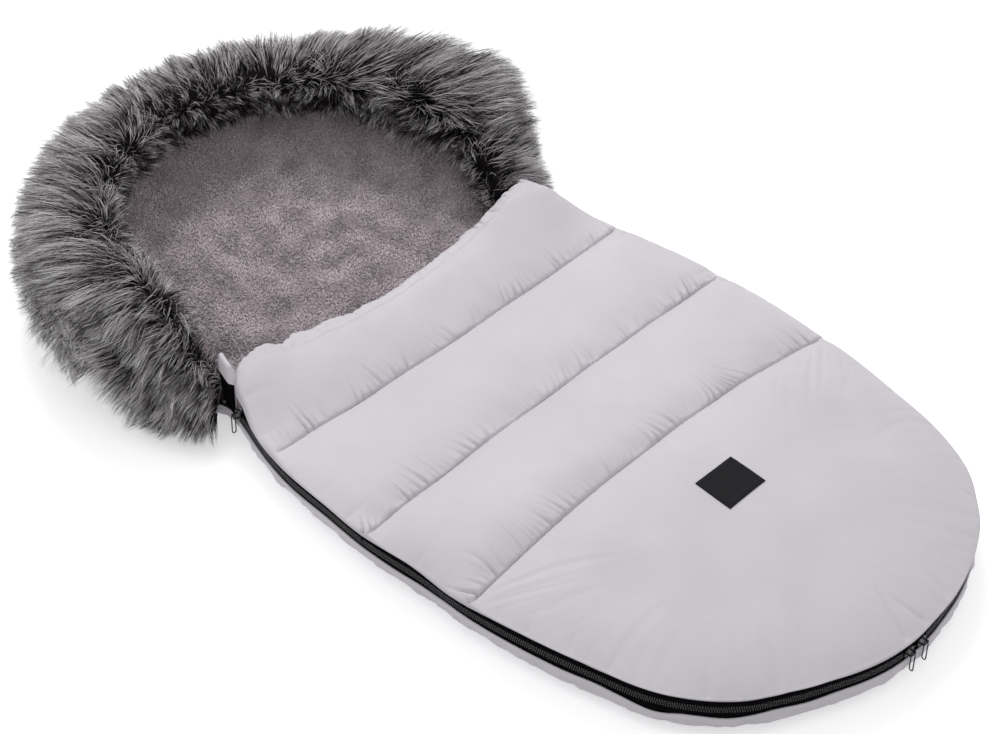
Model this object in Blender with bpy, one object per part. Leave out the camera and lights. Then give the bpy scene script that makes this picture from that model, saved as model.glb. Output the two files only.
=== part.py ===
"""Winter footmuff with a fur hood: a padded back, a quilted zip-on cover and a two-way zip down each side.

Units are metres and +Z is up. The footmuff lies on its back with the toe at -Y and the hood at +Y. The
origin is on the floor, under the middle of the bounding box.

The plan outline is a chain of tangent arcs: a toe arc, a long side arc on each hand, a short neck arc at
each shoulder and the hood arc. Both zips run on the toe arc and the side arcs, so that every slider
travels on a true circle about a fixed upright axis.
"""

import math

import bmesh
import bpy
from mathutils import Matrix, Vector

# Overall plan
LENGTH = 1.020            # outer face of the pulls at the toe to the far edge of the fur
HALF_WIDTH = 0.2424       # centre line to the zip at the widest place
TOE_NARROWING = 0.0204    # the arc round the toe is this much tighter than the half width
SIDE_RADIUS = 0.826       # zip line along each side
NECK_RADIUS = 0.030       # hollow between the body and the hood
HOOD_RADIUS = 0.225       # rim of the hood

# Padded back
SHELL_THICKNESS = 0.0020
SOFT_GAP = 0.0003         # between soft pieces that touch
BACK_RIM = 0.027          # height of the back's edge at the zip
WADDING_SLACK = 0.004     # the wadding thins by this much where the edge climbs to the hood
BACK_UNDERCUT = 0.070     # how far the foot of the back lies inside its edge
BACK_BULGE = 0.003
HOOD_RIM = 0.091
HOOD_UNDERCUT = 0.065
HOOD_BULGE = 0.006
BULGE_LEVEL = 0.60        # height of the bulge as a share of the edge's own height
LINING_FLOOR = 0.017      # height of the plush on the back
LINING_THICKNESS = 0.004
LINING_SETBACK = 0.001    # the plush edge stands this much below the shell edge
BODY_LINING_FILLET = 0.030
HOOD_WALL = 0.018         # rim line to the face of the plush inside the hood
HOOD_LINING_FILLET = 0.060
HOOD_LINING_RISE = 0.060
HOOD_BLEND_DEG = 25.0     # arc on which the edge climbs from body height to hood height

# Hood trim
BINDING_HEIGHT = 0.0030
FUR_OUTWARD = 0.045       # rim line to the outer face of the fur
FUR_INWARD = 0.056        # rim line to the face of the fur inside the hood
FUR_HALF_HEIGHT = 0.056
FUR_DROP = 0.012          # middle of the fur below the rim
FUR_END_STEPS = 0         # steps of the hood arc that the fur leaves free above each neck
FUR_CLEARANCE = 0.0015
FUR_OUTER_FOOT = 0.40     # foot of the fur outside the hood, as a share of the rim's height
FUR_INNER_FOOT = 0.75

# Zip, measured from its own centre line
ZIP_LEVEL = 0.035
TAPE_HALF_THICKNESS = 0.0004
COIL_HALF_THICKNESS = 0.0009
CHAIN_HALF_GAP = 0.0007
COIL_WIDTH = 0.0022
TAPE_WIDTH = 0.0150
TAPE_CLEARANCE = 0.0007
STOP_LENGTH = 0.0018
END_GAP = 0.0003

# Slider and its wire pull
SLIDER_LENGTH = 0.0120
SLIDER_WIDTH = 0.0084
SLIDER_PLATE = 0.0012
SLIDER_INNER = 0.0012     # zip's middle plane to the inner face of each plate
SLIDER_LIP = 0.0008
SLIDER_LIP_GAP = 0.0007
WEDGE_LENGTH = 0.0030
WEDGE_HALF = 0.0004
BRIDGE_HEIGHT = 0.0068    # zip's middle plane to the middle of the bridge
BRIDGE_WIRE = 0.0012
BRIDGE_LENGTH = 0.0076
PULL_WIRE_RADIUS = 0.0006
PULL_BEND_RADIUS = 0.0019
PULL_LENGTH = 0.0180

# Quilted cover
COVER_SKIN = 0.0012
COVER_EDGE = 0.043        # lower edge of the cover along the zip
COVER_SHOULDER = 0.049    # height at which the cover turns inward over the zip tape
COVER_LINING = 0.0030
SEAM_GAP = 0.0006         # between the panels, at a quilting seam
TOE_CROWN = 0.061         # height of the middle line at the toe, at each seam and at the hem
LOWER_SEAM_CROWN = 0.076
MIDDLE_SEAM_CROWN = 0.055
UPPER_SEAM_CROWN = 0.043
HEM_CROWN = 0.045
LOWER_SEAM_SHARE = 0.4686 # place of each seam, as a share of the way from the toe to the hem's corners
MIDDLE_SEAM_SHARE = 0.6591
UPPER_SEAM_SHARE = 0.8496
HEM_ABOVE_ZIP = 0.0148    # end of the zip to the hem's corners
HEM_DIP = 0.027           # the middle of the hem lies this much nearer the toe than its corners
HEM_THICKNESS = 0.006
CORNER_BEND = 0.0357      # the shoulder corner curves inward as a parabola of this size
TOE_PUFF = 0.016          # height of each panel's channel over its seams
LOWER_PUFF = 0.016
MIDDLE_PUFF = 0.014
TOP_PUFF = 0.012
PUFF_REACH = 0.062        # seam to the crest of a channel
EDGE_REACH = 0.060        # zip to the crest of a channel
ARCH_REACH = 0.200
ARCH_POWER = 1.8
WADDING_SEAM_INSET = 0.010
WADDING_EDGE_INSET = 0.016
WADDING_CLEARANCE = 0.003 # under the crown of a channel
HEM_ROUNDING = 0.020
ELASTIC_THICKNESS = 0.0010
ELASTIC_WIDTH = 0.0030
ELASTIC_INSET = 0.036     # side of the hem to the end of its elastic

# Bare patch on the toe panel
PATCH_LENGTH = 0.048
PATCH_WIDTH = 0.040
PATCH_FROM_TOE = 0.217
PATCH_THICKNESS = 0.0008

# Harness slots through the back
SLOT_WIDTH = 0.012
SHOULDER_SLOT_LENGTH = 0.090
SHOULDER_SLOT_X = 0.060
SHOULDER_SLOT_BELOW_NECK = 0.091
CROTCH_SLOT_LENGTH = 0.045
CROTCH_SLOT_BELOW_NECK = 0.271
SLOT_BINDING = 0.0012
SLOT_FLANGE = 0.0045
SLOT_FLANGE_THICKNESS = 0.0010
SLOT_FOOT = 0.0006        # the binding ends this far above the floor

# Zip garage at each shoulder
GARAGE_LENGTH = 0.018
GARAGE_TOP = 0.057
GARAGE_HALF_THICKNESS = 0.0024

# Fineness of the meshes
TOE_STEPS = 11
SIDE_STEPS = 10
NECK_STEPS = 3
HOOD_STEPS = 14
ZIP_TOE_STEP = math.radians(4.2)
ZIP_SIDE_STEP = math.radians(2.4)
ACROSS_STEPS = 18
ALONG_STEPS = 8

# Places worked out from the sizes above
TOE_Y = -LENGTH / 2
ZIP_TOE_Y = TOE_Y + BRIDGE_HEIGHT + PULL_BEND_RADIUS + PULL_WIRE_RADIUS
TOE_RADIUS = HALF_WIDTH - TOE_NARROWING
TOE_CENTRE = Vector((0.0, ZIP_TOE_Y + TOE_RADIUS))
JUNCTION = math.asin((SIDE_RADIUS - HALF_WIDTH) / (SIDE_RADIUS - TOE_RADIUS))
SIDE_CENTRE = TOE_CENTRE + (TOE_RADIUS - SIDE_RADIUS) * Vector((math.sin(JUNCTION), -math.cos(JUNCTION)))
HOOD_CENTRE = Vector((0.0, LENGTH / 2 - FUR_OUTWARD - HOOD_RADIUS))
TOE_ARC = TOE_RADIUS * JUNCTION


def neck_circle():
    """Centre of the neck arc on the right, and the angles at which it meets the side and hood arcs."""
    between = HOOD_CENTRE - SIDE_CENTRE
    to_side = SIDE_RADIUS + NECK_RADIUS
    to_hood = HOOD_RADIUS + NECK_RADIUS
    spread = (between.length ** 2 + to_side ** 2 - to_hood ** 2) / (2 * between.length * to_side)
    heading = math.atan2(between.y, between.x) - math.acos(spread)
    centre = SIDE_CENTRE + to_side * Vector((math.cos(heading), math.sin(heading)))
    from_hood = centre - HOOD_CENTRE
    return centre, heading, math.atan2(from_hood.y, from_hood.x)


NECK_CENTRE, NECK_HEADING, HOOD_START = neck_circle()
ZIP_LENGTH = TOE_ARC + SIDE_RADIUS * (NECK_HEADING + math.pi / 2 - JUNCTION)
ZIP_END_Y = SIDE_CENTRE.y + SIDE_RADIUS * math.sin(NECK_HEADING)
HEM_CORNER_Y = ZIP_END_Y + HEM_ABOVE_ZIP
HEM_MIDDLE_Y = HEM_CORNER_Y - HEM_DIP
SEAM_SHARES = (LOWER_SEAM_SHARE, MIDDLE_SEAM_SHARE, UPPER_SEAM_SHARE)
SEAM_Y = tuple(TOE_Y + share * (HEM_CORNER_Y - TOE_Y) for share in SEAM_SHARES)
SEAM_CROWN = (LOWER_SEAM_CROWN, MIDDLE_SEAM_CROWN, UPPER_SEAM_CROWN)
PUFF_HEIGHT = (TOE_PUFF, LOWER_PUFF, MIDDLE_PUFF, TOP_PUFF)
SLIDER_PARK = STOP_LENGTH + 3 * END_GAP + SLIDER_LENGTH / 2
COVER_ZIP_INSET = SLIDER_PARK + SLIDER_LENGTH / 2 + 2 * END_GAP
CORNER_HEADING = NECK_HEADING - COVER_ZIP_INSET / SIDE_RADIUS
CORNER_START_Y = SIDE_CENTRE.y + SIDE_RADIUS * math.sin(CORNER_HEADING)


def make_material(name, colour, roughness, metallic=0.0):
    """Principled material in one colour."""
    material = bpy.data.materials.new(name)
    material.use_nodes = True
    shader = material.node_tree.nodes["Principled BSDF"]
    shader.inputs["Base Color"].default_value = (*colour, 1.0)
    shader.inputs["Roughness"].default_value = roughness
    shader.inputs["Metallic"].default_value = metallic
    return material


def solid(name, vertices, faces, material, smooth_below=40.0):
    """One closed body from points and faces, with coincident points welded and its faces turned outward."""
    index_of = {}
    merged = []
    remap = []
    for point in vertices:
        key = tuple(round(value, 7) for value in point)
        if key not in index_of:
            index_of[key] = len(merged)
            merged.append(point)
        remap.append(index_of[key])
    mesh_builder = bmesh.new()
    corners = [mesh_builder.verts.new(point) for point in merged]
    for face in faces:
        loop = list(dict.fromkeys(remap[i] for i in face))
        if len(loop) > 2:
            mesh_builder.faces.new([corners[i] for i in loop])
    bmesh.ops.recalc_face_normals(mesh_builder, faces=mesh_builder.faces)
    mesh = bpy.data.meshes.new(name)
    mesh_builder.to_mesh(mesh)
    mesh_builder.free()
    mesh.shade_smooth()
    mesh.set_sharp_from_angle(angle=math.radians(smooth_below))
    mesh.materials.append(material)
    body = bpy.data.objects.new(name, mesh)
    bpy.context.collection.objects.link(body)
    return body


def empty(name, location, parent=None):
    """Empty that carries moving pieces, on their joint's axis."""
    holder = bpy.data.objects.new(name, None)
    holder.empty_display_size = 0.02
    holder.location = location
    bpy.context.collection.objects.link(holder)
    if parent:
        attach(holder, parent)
    return holder


def attach(child, parent):
    """Parent an object and leave it where it is."""
    bpy.context.view_layer.update()
    child.parent = parent
    child.matrix_parent_inverse = parent.matrix_world.inverted()


def rings_solid(name, rings, material):
    """Closed body through rings of equal point count, with a flat cap on the first and on the last.

    Each quad is split on the diagonal that rises with the outline, so that nested bodies stay parallel.
    """
    count = len(rings[0])
    vertices = [point for ring in rings for point in ring]
    faces = [list(range(count))]
    for level in range(len(rings) - 1):
        for i in range(count):
            j = (i + 1) % count
            low, high = level * count, (level + 1) * count
            if vertices[low + i][2] > vertices[high + i][2]:
                low, high = high, low
            faces.append([low + i, low + j, high + j])
            faces.append([low + i, high + j, high + i])
    last = (len(rings) - 1) * count
    faces.append(list(range(last, last + count)))
    return solid(name, vertices, faces, material)


def swept_solid(name, sections, material, closed=False):
    """Closed body through sections of equal point count, capped at its ends or closed on itself."""
    count = len(sections[0])
    vertices = [point for section in sections for point in section]
    faces = []
    for level in range(len(sections) - (0 if closed else 1)):
        low = level * count
        high = ((level + 1) % len(sections)) * count
        for i in range(count):
            j = (i + 1) % count
            faces.append([low + i, low + j, high + j, high + i])
    if not closed:
        faces.append(list(range(count)))
        faces.append(list(range(len(vertices) - count, len(vertices))))
    return solid(name, vertices, faces, material)


def skin_solid(name, outer, inner, material):
    """Closed body between two grids of points with the same rows and columns."""
    rows = len(outer)
    columns = len(outer[0])
    vertices = [point for row in outer for point in row] + [point for row in inner for point in row]
    offset = rows * columns
    faces = []
    for j in range(rows - 1):
        for i in range(columns - 1):
            a = j * columns + i
            quad = [a, a + 1, a + columns + 1, a + columns]
            faces.append(quad)
            faces.append([offset + k for k in reversed(quad)])
    border = [(i, i + 1) for i in range(columns - 1)]
    border += [((rows - 1) * columns + i + 1, (rows - 1) * columns + i) for i in range(columns - 1)]
    border += [((j + 1) * columns, j * columns) for j in range(rows - 1)]
    border += [(j * columns + columns - 1, (j + 1) * columns + columns - 1) for j in range(rows - 1)]
    for a, b in border:
        faces.append([b, a, offset + a, offset + b])
    return solid(name, vertices, faces, material)


def extruded_solid(name, outline, low, high, material):
    """Prism of an outline in local X and Z, from y = low to y = high."""
    sections = [[(x, y, z) for x, z in outline] for y in (low, high)]
    return swept_solid(name, sections, material)


def mirrored(points, side):
    """Points of the right-hand side, moved to the given side (1 right, -1 left)."""
    return [(side * x, y, z) for x, y, z in points]


def smoothstep(value):
    """Ease from 0 to 1."""
    value = min(max(value, 0.0), 1.0)
    return value * value * (3.0 - 2.0 * value)


def mix(a, b, share):
    """Straight blend of two values."""
    return a + (b - a) * share


def zip_frame(s, offset=0.0):
    """Point and outward direction on the right-hand zip line, s metres from the toe centre."""
    if s <= TOE_ARC:
        centre = TOE_CENTRE
        radius = TOE_RADIUS
        angle = s / TOE_RADIUS
    else:
        centre = SIDE_CENTRE
        radius = SIDE_RADIUS
        angle = JUNCTION + (s - TOE_ARC) / SIDE_RADIUS
    normal = Vector((math.sin(angle), -math.cos(angle)))
    return centre + (radius + offset) * normal, normal


def side_x(y, offset=0.0):
    """Distance from the centre line to the side arc at y, moved outward by offset."""
    radius = SIDE_RADIUS + offset
    return SIDE_CENTRE.x + math.sqrt(radius ** 2 - (y - SIDE_CENTRE.y) ** 2)


def zip_length_at(y, offset=0.0):
    """Zip length from the toe centre to the place where the side arc, moved by offset, crosses y."""
    angle = math.acos((SIDE_CENTRE.y - y) / (SIDE_RADIUS + offset))
    return TOE_ARC + SIDE_RADIUS * (angle - JUNCTION)


def zip_stations(start, end):
    """Zip lengths from start to end, close enough for the faceted chain to follow its arc."""
    stations = [start]
    toe_step = TOE_RADIUS * ZIP_TOE_STEP
    side_step = SIDE_RADIUS * ZIP_SIDE_STEP
    while stations[-1] < end:
        step = toe_step if stations[-1] < TOE_ARC else side_step
        stations.append(stations[-1] + step)
    stations[-1] = end
    return stations


def back_outline():
    """Closed plan outline: (point, outward direction, share of the hood's height) at each station."""
    right = []
    for k in range(TOE_STEPS):
        right.append((*zip_frame(TOE_ARC * k / TOE_STEPS), 0.0))
    for k in range(SIDE_STEPS + 1):
        right.append((*zip_frame(mix(TOE_ARC, ZIP_LENGTH, k / SIDE_STEPS)), 0.0))
    neck_end = HOOD_START + math.pi
    for k in range(1, NECK_STEPS):
        angle = mix(NECK_HEADING + math.pi, neck_end, k / NECK_STEPS)
        inward = Vector((math.cos(angle), math.sin(angle)))
        right.append((NECK_CENTRE + NECK_RADIUS * inward, -inward, 0.0))
    right.extend(hood_stations()[:HOOD_STEPS + 1])
    left = []
    for point, normal, share in reversed(right[1:-1]):
        left.append((Vector((-point.x, point.y)), Vector((-normal.x, normal.y)), share))
    return right + left


def hood_station(angle):
    """Station of the hood arc at an angle from +X about the hood's centre."""
    normal = Vector((math.cos(angle), math.sin(angle)))
    rise = angle if angle <= math.pi / 2 else math.pi - angle
    share = smoothstep((rise - HOOD_START) / math.radians(HOOD_BLEND_DEG))
    return HOOD_CENTRE + HOOD_RADIUS * normal, normal, share


def hood_stations():
    """Stations of the whole hood arc, from the right neck round to the left one."""
    count = 2 * HOOD_STEPS
    return [hood_station(mix(HOOD_START, math.pi - HOOD_START, k / count)) for k in range(count + 1)]


def trimmed_stations():
    """Stations of the hood arc that carry the binding and the fur."""
    return hood_stations()[FUR_END_STEPS:2 * HOOD_STEPS + 1 - FUR_END_STEPS]


def placed(station, offset, height):
    """Point in space at an offset outward from a station of an outline."""
    point, normal = station[0], station[1]
    place = point + offset * normal
    return (place.x, place.y, height)


def edge_sizes(share):
    """Edge height, undercut and bulge of the back, between the body's and the hood's."""
    rim = mix(BACK_RIM, HOOD_RIM, share)
    undercut = mix(BACK_UNDERCUT, HOOD_UNDERCUT, share)
    bulge = mix(BACK_BULGE, HOOD_BULGE, share)
    return rim, undercut, bulge


def shell_face(share, inset):
    """Profile of the outer shell from its foot to its edge, moved inward by inset."""
    rim, undercut, bulge = edge_sizes(share)
    level = BULGE_LEVEL * rim
    profile = []
    for degrees in (0, 25, 50, 70, 90):
        angle = math.radians(degrees)
        offset = -undercut + (undercut + bulge - inset) * math.sin(angle)
        profile.append((offset, inset + (level - inset) * (1 - math.cos(angle))))
    return profile, rim


def along_profile(profile, place):
    """Point of a faceted profile at a fractional index."""
    index = min(int(place), len(profile) - 2)
    start, end = profile[index], profile[index + 1]
    return (mix(start[0], end[0], place - index), mix(start[1], end[1], place - index))


def lining_face(share, outset):
    """Profile of the plush from its floor to its edge, moved outward and down by outset."""
    rim = edge_sizes(share)[0]
    wall = mix(TAPE_CLEARANCE + LINING_THICKNESS, HOOD_WALL, share)
    fillet = mix(BODY_LINING_FILLET, HOOD_LINING_FILLET, share)
    body_rise = BACK_RIM - 2 * LINING_SETBACK - LINING_FLOOR
    rise = mix(body_rise, HOOD_LINING_RISE, share)
    profile = []
    for step in (0.0, 0.35, 0.65, 0.85, 1.0):
        angle = math.pi / 2 * step
        offset = -wall - fillet + (fillet + outset) * math.sin(angle)
        profile.append((offset, LINING_FLOOR - outset + (rise + outset) * (1 - math.cos(angle))))
    return profile, rim - LINING_SETBACK, -wall + outset


def plush_height(share, offset):
    """Height of the plush at an offset from the outline, on its faceted profile."""
    profile, rim, edge = lining_face(share, 0.0)
    profile.append((edge, rim))
    if offset <= profile[0][0]:
        return profile[0][1]
    for (low, start), (high, end) in zip(profile, profile[1:]):
        if offset <= high and high > low:
            return mix(start, end, (offset - low) / (high - low))
    return rim


def build_back_shell(outline, material):
    """Outer shell of the back: an open tray whose edge climbs round the hood."""
    rings = [[] for _ in range(12)]
    for station in outline:
        share = station[2]
        outside, rim = shell_face(share, 0.0)
        inside = shell_face(share, SHELL_THICKNESS)[0]
        edge_inner = TAPE_CLEARANCE + COIL_HALF_THICKNESS / 2
        outside.append((edge_inner + SHELL_THICKNESS, rim))
        inside.append((edge_inner, rim))
        for ring, (offset, height) in zip(rings, outside + inside[::-1]):
            ring.append(placed(station, offset, height))
    return rings_solid("back_shell", rings, material)


def build_plush_lining(outline, material):
    """Plush lining of the back and the hood, in one piece."""
    rings = [[] for _ in range(12)]
    for station in outline:
        share = station[2]
        under, rim, edge_outer = lining_face(share, LINING_THICKNESS)
        over, _, edge_inner = lining_face(share, 0.0)
        under.append((edge_outer, rim))
        over.append((edge_inner, rim))
        for ring, (offset, height) in zip(rings, under + over[::-1]):
            ring.append(placed(station, offset, height))
    return rings_solid("plush_lining", rings, material)


def build_back_wadding(outline, material):
    """Wadding between the shell and the plush, sealed in by them."""
    rings = [[] for _ in range(12)]
    gap = SOFT_GAP
    for station in outline:
        share = station[2]
        outside, rim = shell_face(share, SHELL_THICKNESS + gap)
        under, _, edge = lining_face(share, LINING_THICKNESS + gap)
        top = rim - 2 * LINING_SETBACK
        under.append((edge, top))
        slack = 2 * WADDING_SLACK * math.sqrt(share * (1 - share))
        over = [along_profile(under, min(k, 2 + 3 * share)) for k in range(len(under))]
        over = [(offset, height - slack) for offset, height in over]
        last = outside[-1]
        outside.append((mix(last[0] - gap, 0.0, share), mix(last[1] + gap, top, share)))
        for ring, (offset, height) in zip(rings, outside + over[::-1]):
            ring.append(placed(station, offset, height))
    return rings_solid("back_wadding", rings, material)


def stadium(length, width, outset, along_y, steps=6):
    """Closed slot outline: a rectangle with round ends, moved outward by outset."""
    radius = width / 2 + outset
    reach = (length - width) / 2
    points = []
    for end, start in ((1, -math.pi / 2), (-1, math.pi / 2)):
        for k in range(steps + 1):
            angle = start + math.pi * k / steps
            x = end * reach + radius * math.cos(angle)
            y = radius * math.sin(angle)
            points.append((-y, x) if along_y else (x, y))
    return points


def harness_slots():
    """Name, centre, length and direction of each slot through the back."""
    shoulder_y = ZIP_END_Y - SHOULDER_SLOT_BELOW_NECK
    crotch_y = ZIP_END_Y - CROTCH_SLOT_BELOW_NECK
    return (
        ("shoulder_slot_binding_left", (-SHOULDER_SLOT_X, shoulder_y), SHOULDER_SLOT_LENGTH, True),
        ("shoulder_slot_binding_right", (SHOULDER_SLOT_X, shoulder_y), SHOULDER_SLOT_LENGTH, True),
        ("crotch_slot_binding", (0.0, crotch_y), CROTCH_SLOT_LENGTH, False),
    )


def cut_harness_slots(bodies):
    """Cut every slot through the shell, the wadding and the plush."""
    for name, (x, y), length, along_y in harness_slots():
        hole = stadium(length, SLOT_WIDTH, SLOT_BINDING + SOFT_GAP, along_y)
        sections = [[(x + px, y + py, z) for px, py in hole] for z in (-0.01, LINING_FLOOR + 0.01)]
        cutter = swept_solid(f"{name}_cutter", sections, None)
        cutter.hide_render = True
        cutter.display_type = "WIRE"
        for body in bodies:
            cut = body.modifiers.new(f"cut_{name}", "BOOLEAN")
            cut.operation = "DIFFERENCE"
            cut.object = cutter


def build_slot_bindings(material):
    """Binding that lines each slot, with a flange on the plush side."""
    for name, (x, y), length, along_y in harness_slots():
        top = LINING_FLOOR + SOFT_GAP
        profile = (
            (0.0, SLOT_FOOT),
            (SLOT_BINDING, SLOT_FOOT),
            (SLOT_BINDING, top),
            (SLOT_FLANGE, top),
            (SLOT_FLANGE, top + SLOT_FLANGE_THICKNESS),
            (0.0, top + SLOT_FLANGE_THICKNESS),
        )
        outlines = [stadium(length, SLOT_WIDTH, outset, along_y) for outset, _ in profile]
        sections = []
        for k in range(len(outlines[0])):
            sections.append([
                (x + loop[k][0], y + loop[k][1], height)
                for loop, (_, height) in zip(outlines, profile)
            ])
        swept_solid(name, sections, material, closed=True)


def build_rim_binding(material):
    """Flat binding on the edge of the hood, to which the fur is sewn."""
    sections = []
    for station in trimmed_stations():
        share = station[2]
        low = edge_sizes(share)[0] + SOFT_GAP
        inner = -mix(TAPE_CLEARANCE + LINING_THICKNESS, HOOD_WALL, share)
        corners = (
            (inner, low),
            (SHELL_THICKNESS, low),
            (SHELL_THICKNESS, low + BINDING_HEIGHT),
            (inner, low + BINDING_HEIGHT),
        )
        sections.append([placed(station, offset, height) for offset, height in corners])
    return swept_solid("hood_rim_binding", sections, material)


def build_fur_trim(material):
    """Long-pile fur round the hood: a saddle that hangs over both faces of the rim."""
    stations = trimmed_stations()
    last = len(stations) - 1
    sections = []
    for k, station in enumerate(stations):
        share = station[2]
        rim, _, bulge = edge_sizes(share)
        wall = mix(TAPE_CLEARANCE + LINING_THICKNESS, HOOD_WALL, share)
        fullness = mix(0.72, 1.0, math.sqrt(min(k, last - k, 4) / 4))
        groove_top = rim + BINDING_HEIGHT + 2 * FUR_CLEARANCE
        outer_wall = bulge + FUR_CLEARANCE
        inner_wall = -wall - FUR_CLEARANCE
        skirt = plush_height(share, inner_wall) + FUR_CLEARANCE
        profile = [
            (inner_wall, max(FUR_INNER_FOOT * rim, skirt)),
            (inner_wall, groove_top),
            (outer_wall, groove_top),
            (outer_wall, FUR_OUTER_FOOT * rim),
        ]
        middle = rim - FUR_DROP
        half_width = (FUR_OUTWARD + FUR_INWARD) / 2
        for degrees in range(-50, 211, 26):
            angle = math.radians(degrees)
            offset = (FUR_OUTWARD - FUR_INWARD) / 2 + fullness * half_width * math.cos(angle)
            height = middle + fullness * FUR_HALF_HEIGHT * math.sin(angle)
            floor = FUR_OUTER_FOOT * rim
            if offset < 0:
                floor = plush_height(share, offset) + FUR_CLEARANCE
            profile.append((offset, max(height, floor)))
        sections.append([placed(station, offset, height) for offset, height in profile])
    return swept_solid("fur_trim", sections, material)


def zip_half(name, side, start, end, upward, material):
    """One half of a zip from start to end: tape with its coil, above or below the zip's middle."""
    sign = 1.0 if upward else -1.0
    coil_start = sign * CHAIN_HALF_GAP
    coil_end = sign * (CHAIN_HALF_GAP + COIL_WIDTH)
    tape_end = sign * TAPE_WIDTH if not upward else COVER_SHOULDER - 2 * SOFT_GAP - COVER_SKIN - ZIP_LEVEL
    profile = (
        (-COIL_HALF_THICKNESS, coil_start),
        (COIL_HALF_THICKNESS, coil_start),
        (COIL_HALF_THICKNESS, coil_end),
        (TAPE_HALF_THICKNESS, coil_end),
        (TAPE_HALF_THICKNESS, tape_end),
        (-TAPE_HALF_THICKNESS, tape_end),
        (-TAPE_HALF_THICKNESS, coil_end),
        (-COIL_HALF_THICKNESS, coil_end),
    )
    sections = []
    for s in zip_stations(start, end):
        station = zip_frame(s)
        section = [placed(station, offset, ZIP_LEVEL + height) for offset, height in profile]
        sections.append(mirrored(section, side))
    return swept_solid(name, sections, material)


def build_zip_stop(name, side, start, material):
    """Metal stop at the end of the back's zip half."""
    low = -CHAIN_HALF_GAP - COIL_WIDTH
    high = -CHAIN_HALF_GAP
    sections = []
    for s in (start, start + STOP_LENGTH):
        station = zip_frame(s)
        corners = (
            (-COIL_HALF_THICKNESS, low),
            (COIL_HALF_THICKNESS, low),
            (COIL_HALF_THICKNESS, high),
            (-COIL_HALF_THICKNESS, high),
        )
        section = [placed(station, offset, ZIP_LEVEL + height) for offset, height in corners]
        sections.append(mirrored(section, side))
    return swept_solid(name, sections, material)


def slider_mesh(material):
    """Slider body: two lipped plates, the wedge that joins them and the bridge for the pull.

    Local X runs along the zip with the wedge at +X, Y points outward and Z is up.
    """
    half = SLIDER_LENGTH / 2
    high = SLIDER_WIDTH / 2
    chamfer = SLIDER_WIDTH / 4
    outline = (
        (-half, -high + chamfer),
        (-half + chamfer, -high),
        (half - chamfer, -high),
        (half, -high + chamfer),
        (half, high - chamfer),
        (half - chamfer, high),
        (-half + chamfer, high),
        (-half, high - chamfer),
    )
    outer = SLIDER_INNER + SLIDER_PLATE
    overlap = SLIDER_PLATE / 4
    pieces = []
    for sign in (1, -1):
        faces = sorted((sign * SLIDER_INNER, sign * outer))
        pieces.append(extruded_solid("slider_plate", outline, *faces, material))
        for edge in (1, -1):
            lip = (
                (-half + chamfer, edge * (high - SLIDER_LIP)),
                (half - chamfer, edge * (high - SLIDER_LIP)),
                (half - chamfer, edge * high),
                (-half + chamfer, edge * high),
            )
            faces = sorted((sign * SLIDER_LIP_GAP, sign * (SLIDER_INNER + overlap)))
            pieces.append(extruded_solid("slider_lip", lip, *faces, material))
    wedge_start = half - SLIDER_PLATE / 2 - WEDGE_LENGTH
    wedge = (
        (wedge_start, -WEDGE_HALF),
        (wedge_start + WEDGE_LENGTH, -WEDGE_HALF),
        (wedge_start + WEDGE_LENGTH, WEDGE_HALF),
        (wedge_start, WEDGE_HALF),
    )
    reach = SLIDER_INNER + overlap
    pieces.append(extruded_solid("slider_wedge", wedge, -reach, reach, material))
    bridge_half = BRIDGE_WIRE / 2
    bar = (
        (-BRIDGE_LENGTH / 2, -bridge_half),
        (BRIDGE_LENGTH / 2, -bridge_half),
        (BRIDGE_LENGTH / 2, bridge_half),
        (-BRIDGE_LENGTH / 2, bridge_half),
    )
    pieces.append(extruded_solid("slider_bar", bar, BRIDGE_HEIGHT - bridge_half,
                                 BRIDGE_HEIGHT + bridge_half, material))
    for sign in (1, -1):
        end = sign * BRIDGE_LENGTH / 2
        post = (
            (end, -bridge_half),
            (end - sign * BRIDGE_WIRE, -bridge_half),
            (end - sign * BRIDGE_WIRE, bridge_half),
            (end, bridge_half),
        )
        pieces.append(extruded_solid("slider_post", post, outer - overlap, BRIDGE_HEIGHT, material))
    base = pieces[0]
    for piece in pieces[1:]:
        union = base.modifiers.new(piece.name, "BOOLEAN")
        union.operation = "UNION"
        union.object = piece
    bpy.context.view_layer.update()
    evaluated = base.evaluated_get(bpy.context.evaluated_depsgraph_get())
    mesh = bpy.data.meshes.new_from_object(evaluated)
    mesh.name = "zip_slider"
    for piece in pieces:
        bpy.data.objects.remove(piece)
    return mesh


def pull_mesh(material):
    """Wire pull: a closed loop round the bridge that hangs down, in local Y and Z."""
    curve = bpy.data.curves.new("wire_pull", "CURVE")
    curve.dimensions = "3D"
    curve.bevel_depth = PULL_WIRE_RADIUS
    curve.bevel_resolution = 1
    points = []
    for end, start in ((0.0, 0.0), (-PULL_LENGTH, math.pi)):
        for k in range(7):
            angle = start + math.pi * k / 6
            points.append((0.0, PULL_BEND_RADIUS * math.cos(angle), end + PULL_BEND_RADIUS * math.sin(angle)))
    spline = curve.splines.new("POLY")
    spline.points.add(len(points) - 1)
    for point, place in zip(spline.points, points):
        point.co = (*place, 1.0)
    spline.use_cyclic_u = True
    holder = bpy.data.objects.new("wire_pull_shape", curve)
    bpy.context.collection.objects.link(holder)
    bpy.context.view_layer.update()
    evaluated = holder.evaluated_get(bpy.context.evaluated_depsgraph_get())
    mesh = bpy.data.meshes.new_from_object(evaluated)
    mesh.name = "wire_pull"
    mesh.shade_smooth()
    mesh.materials.clear()
    mesh.materials.append(material)
    bpy.data.objects.remove(holder)
    return mesh


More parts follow.
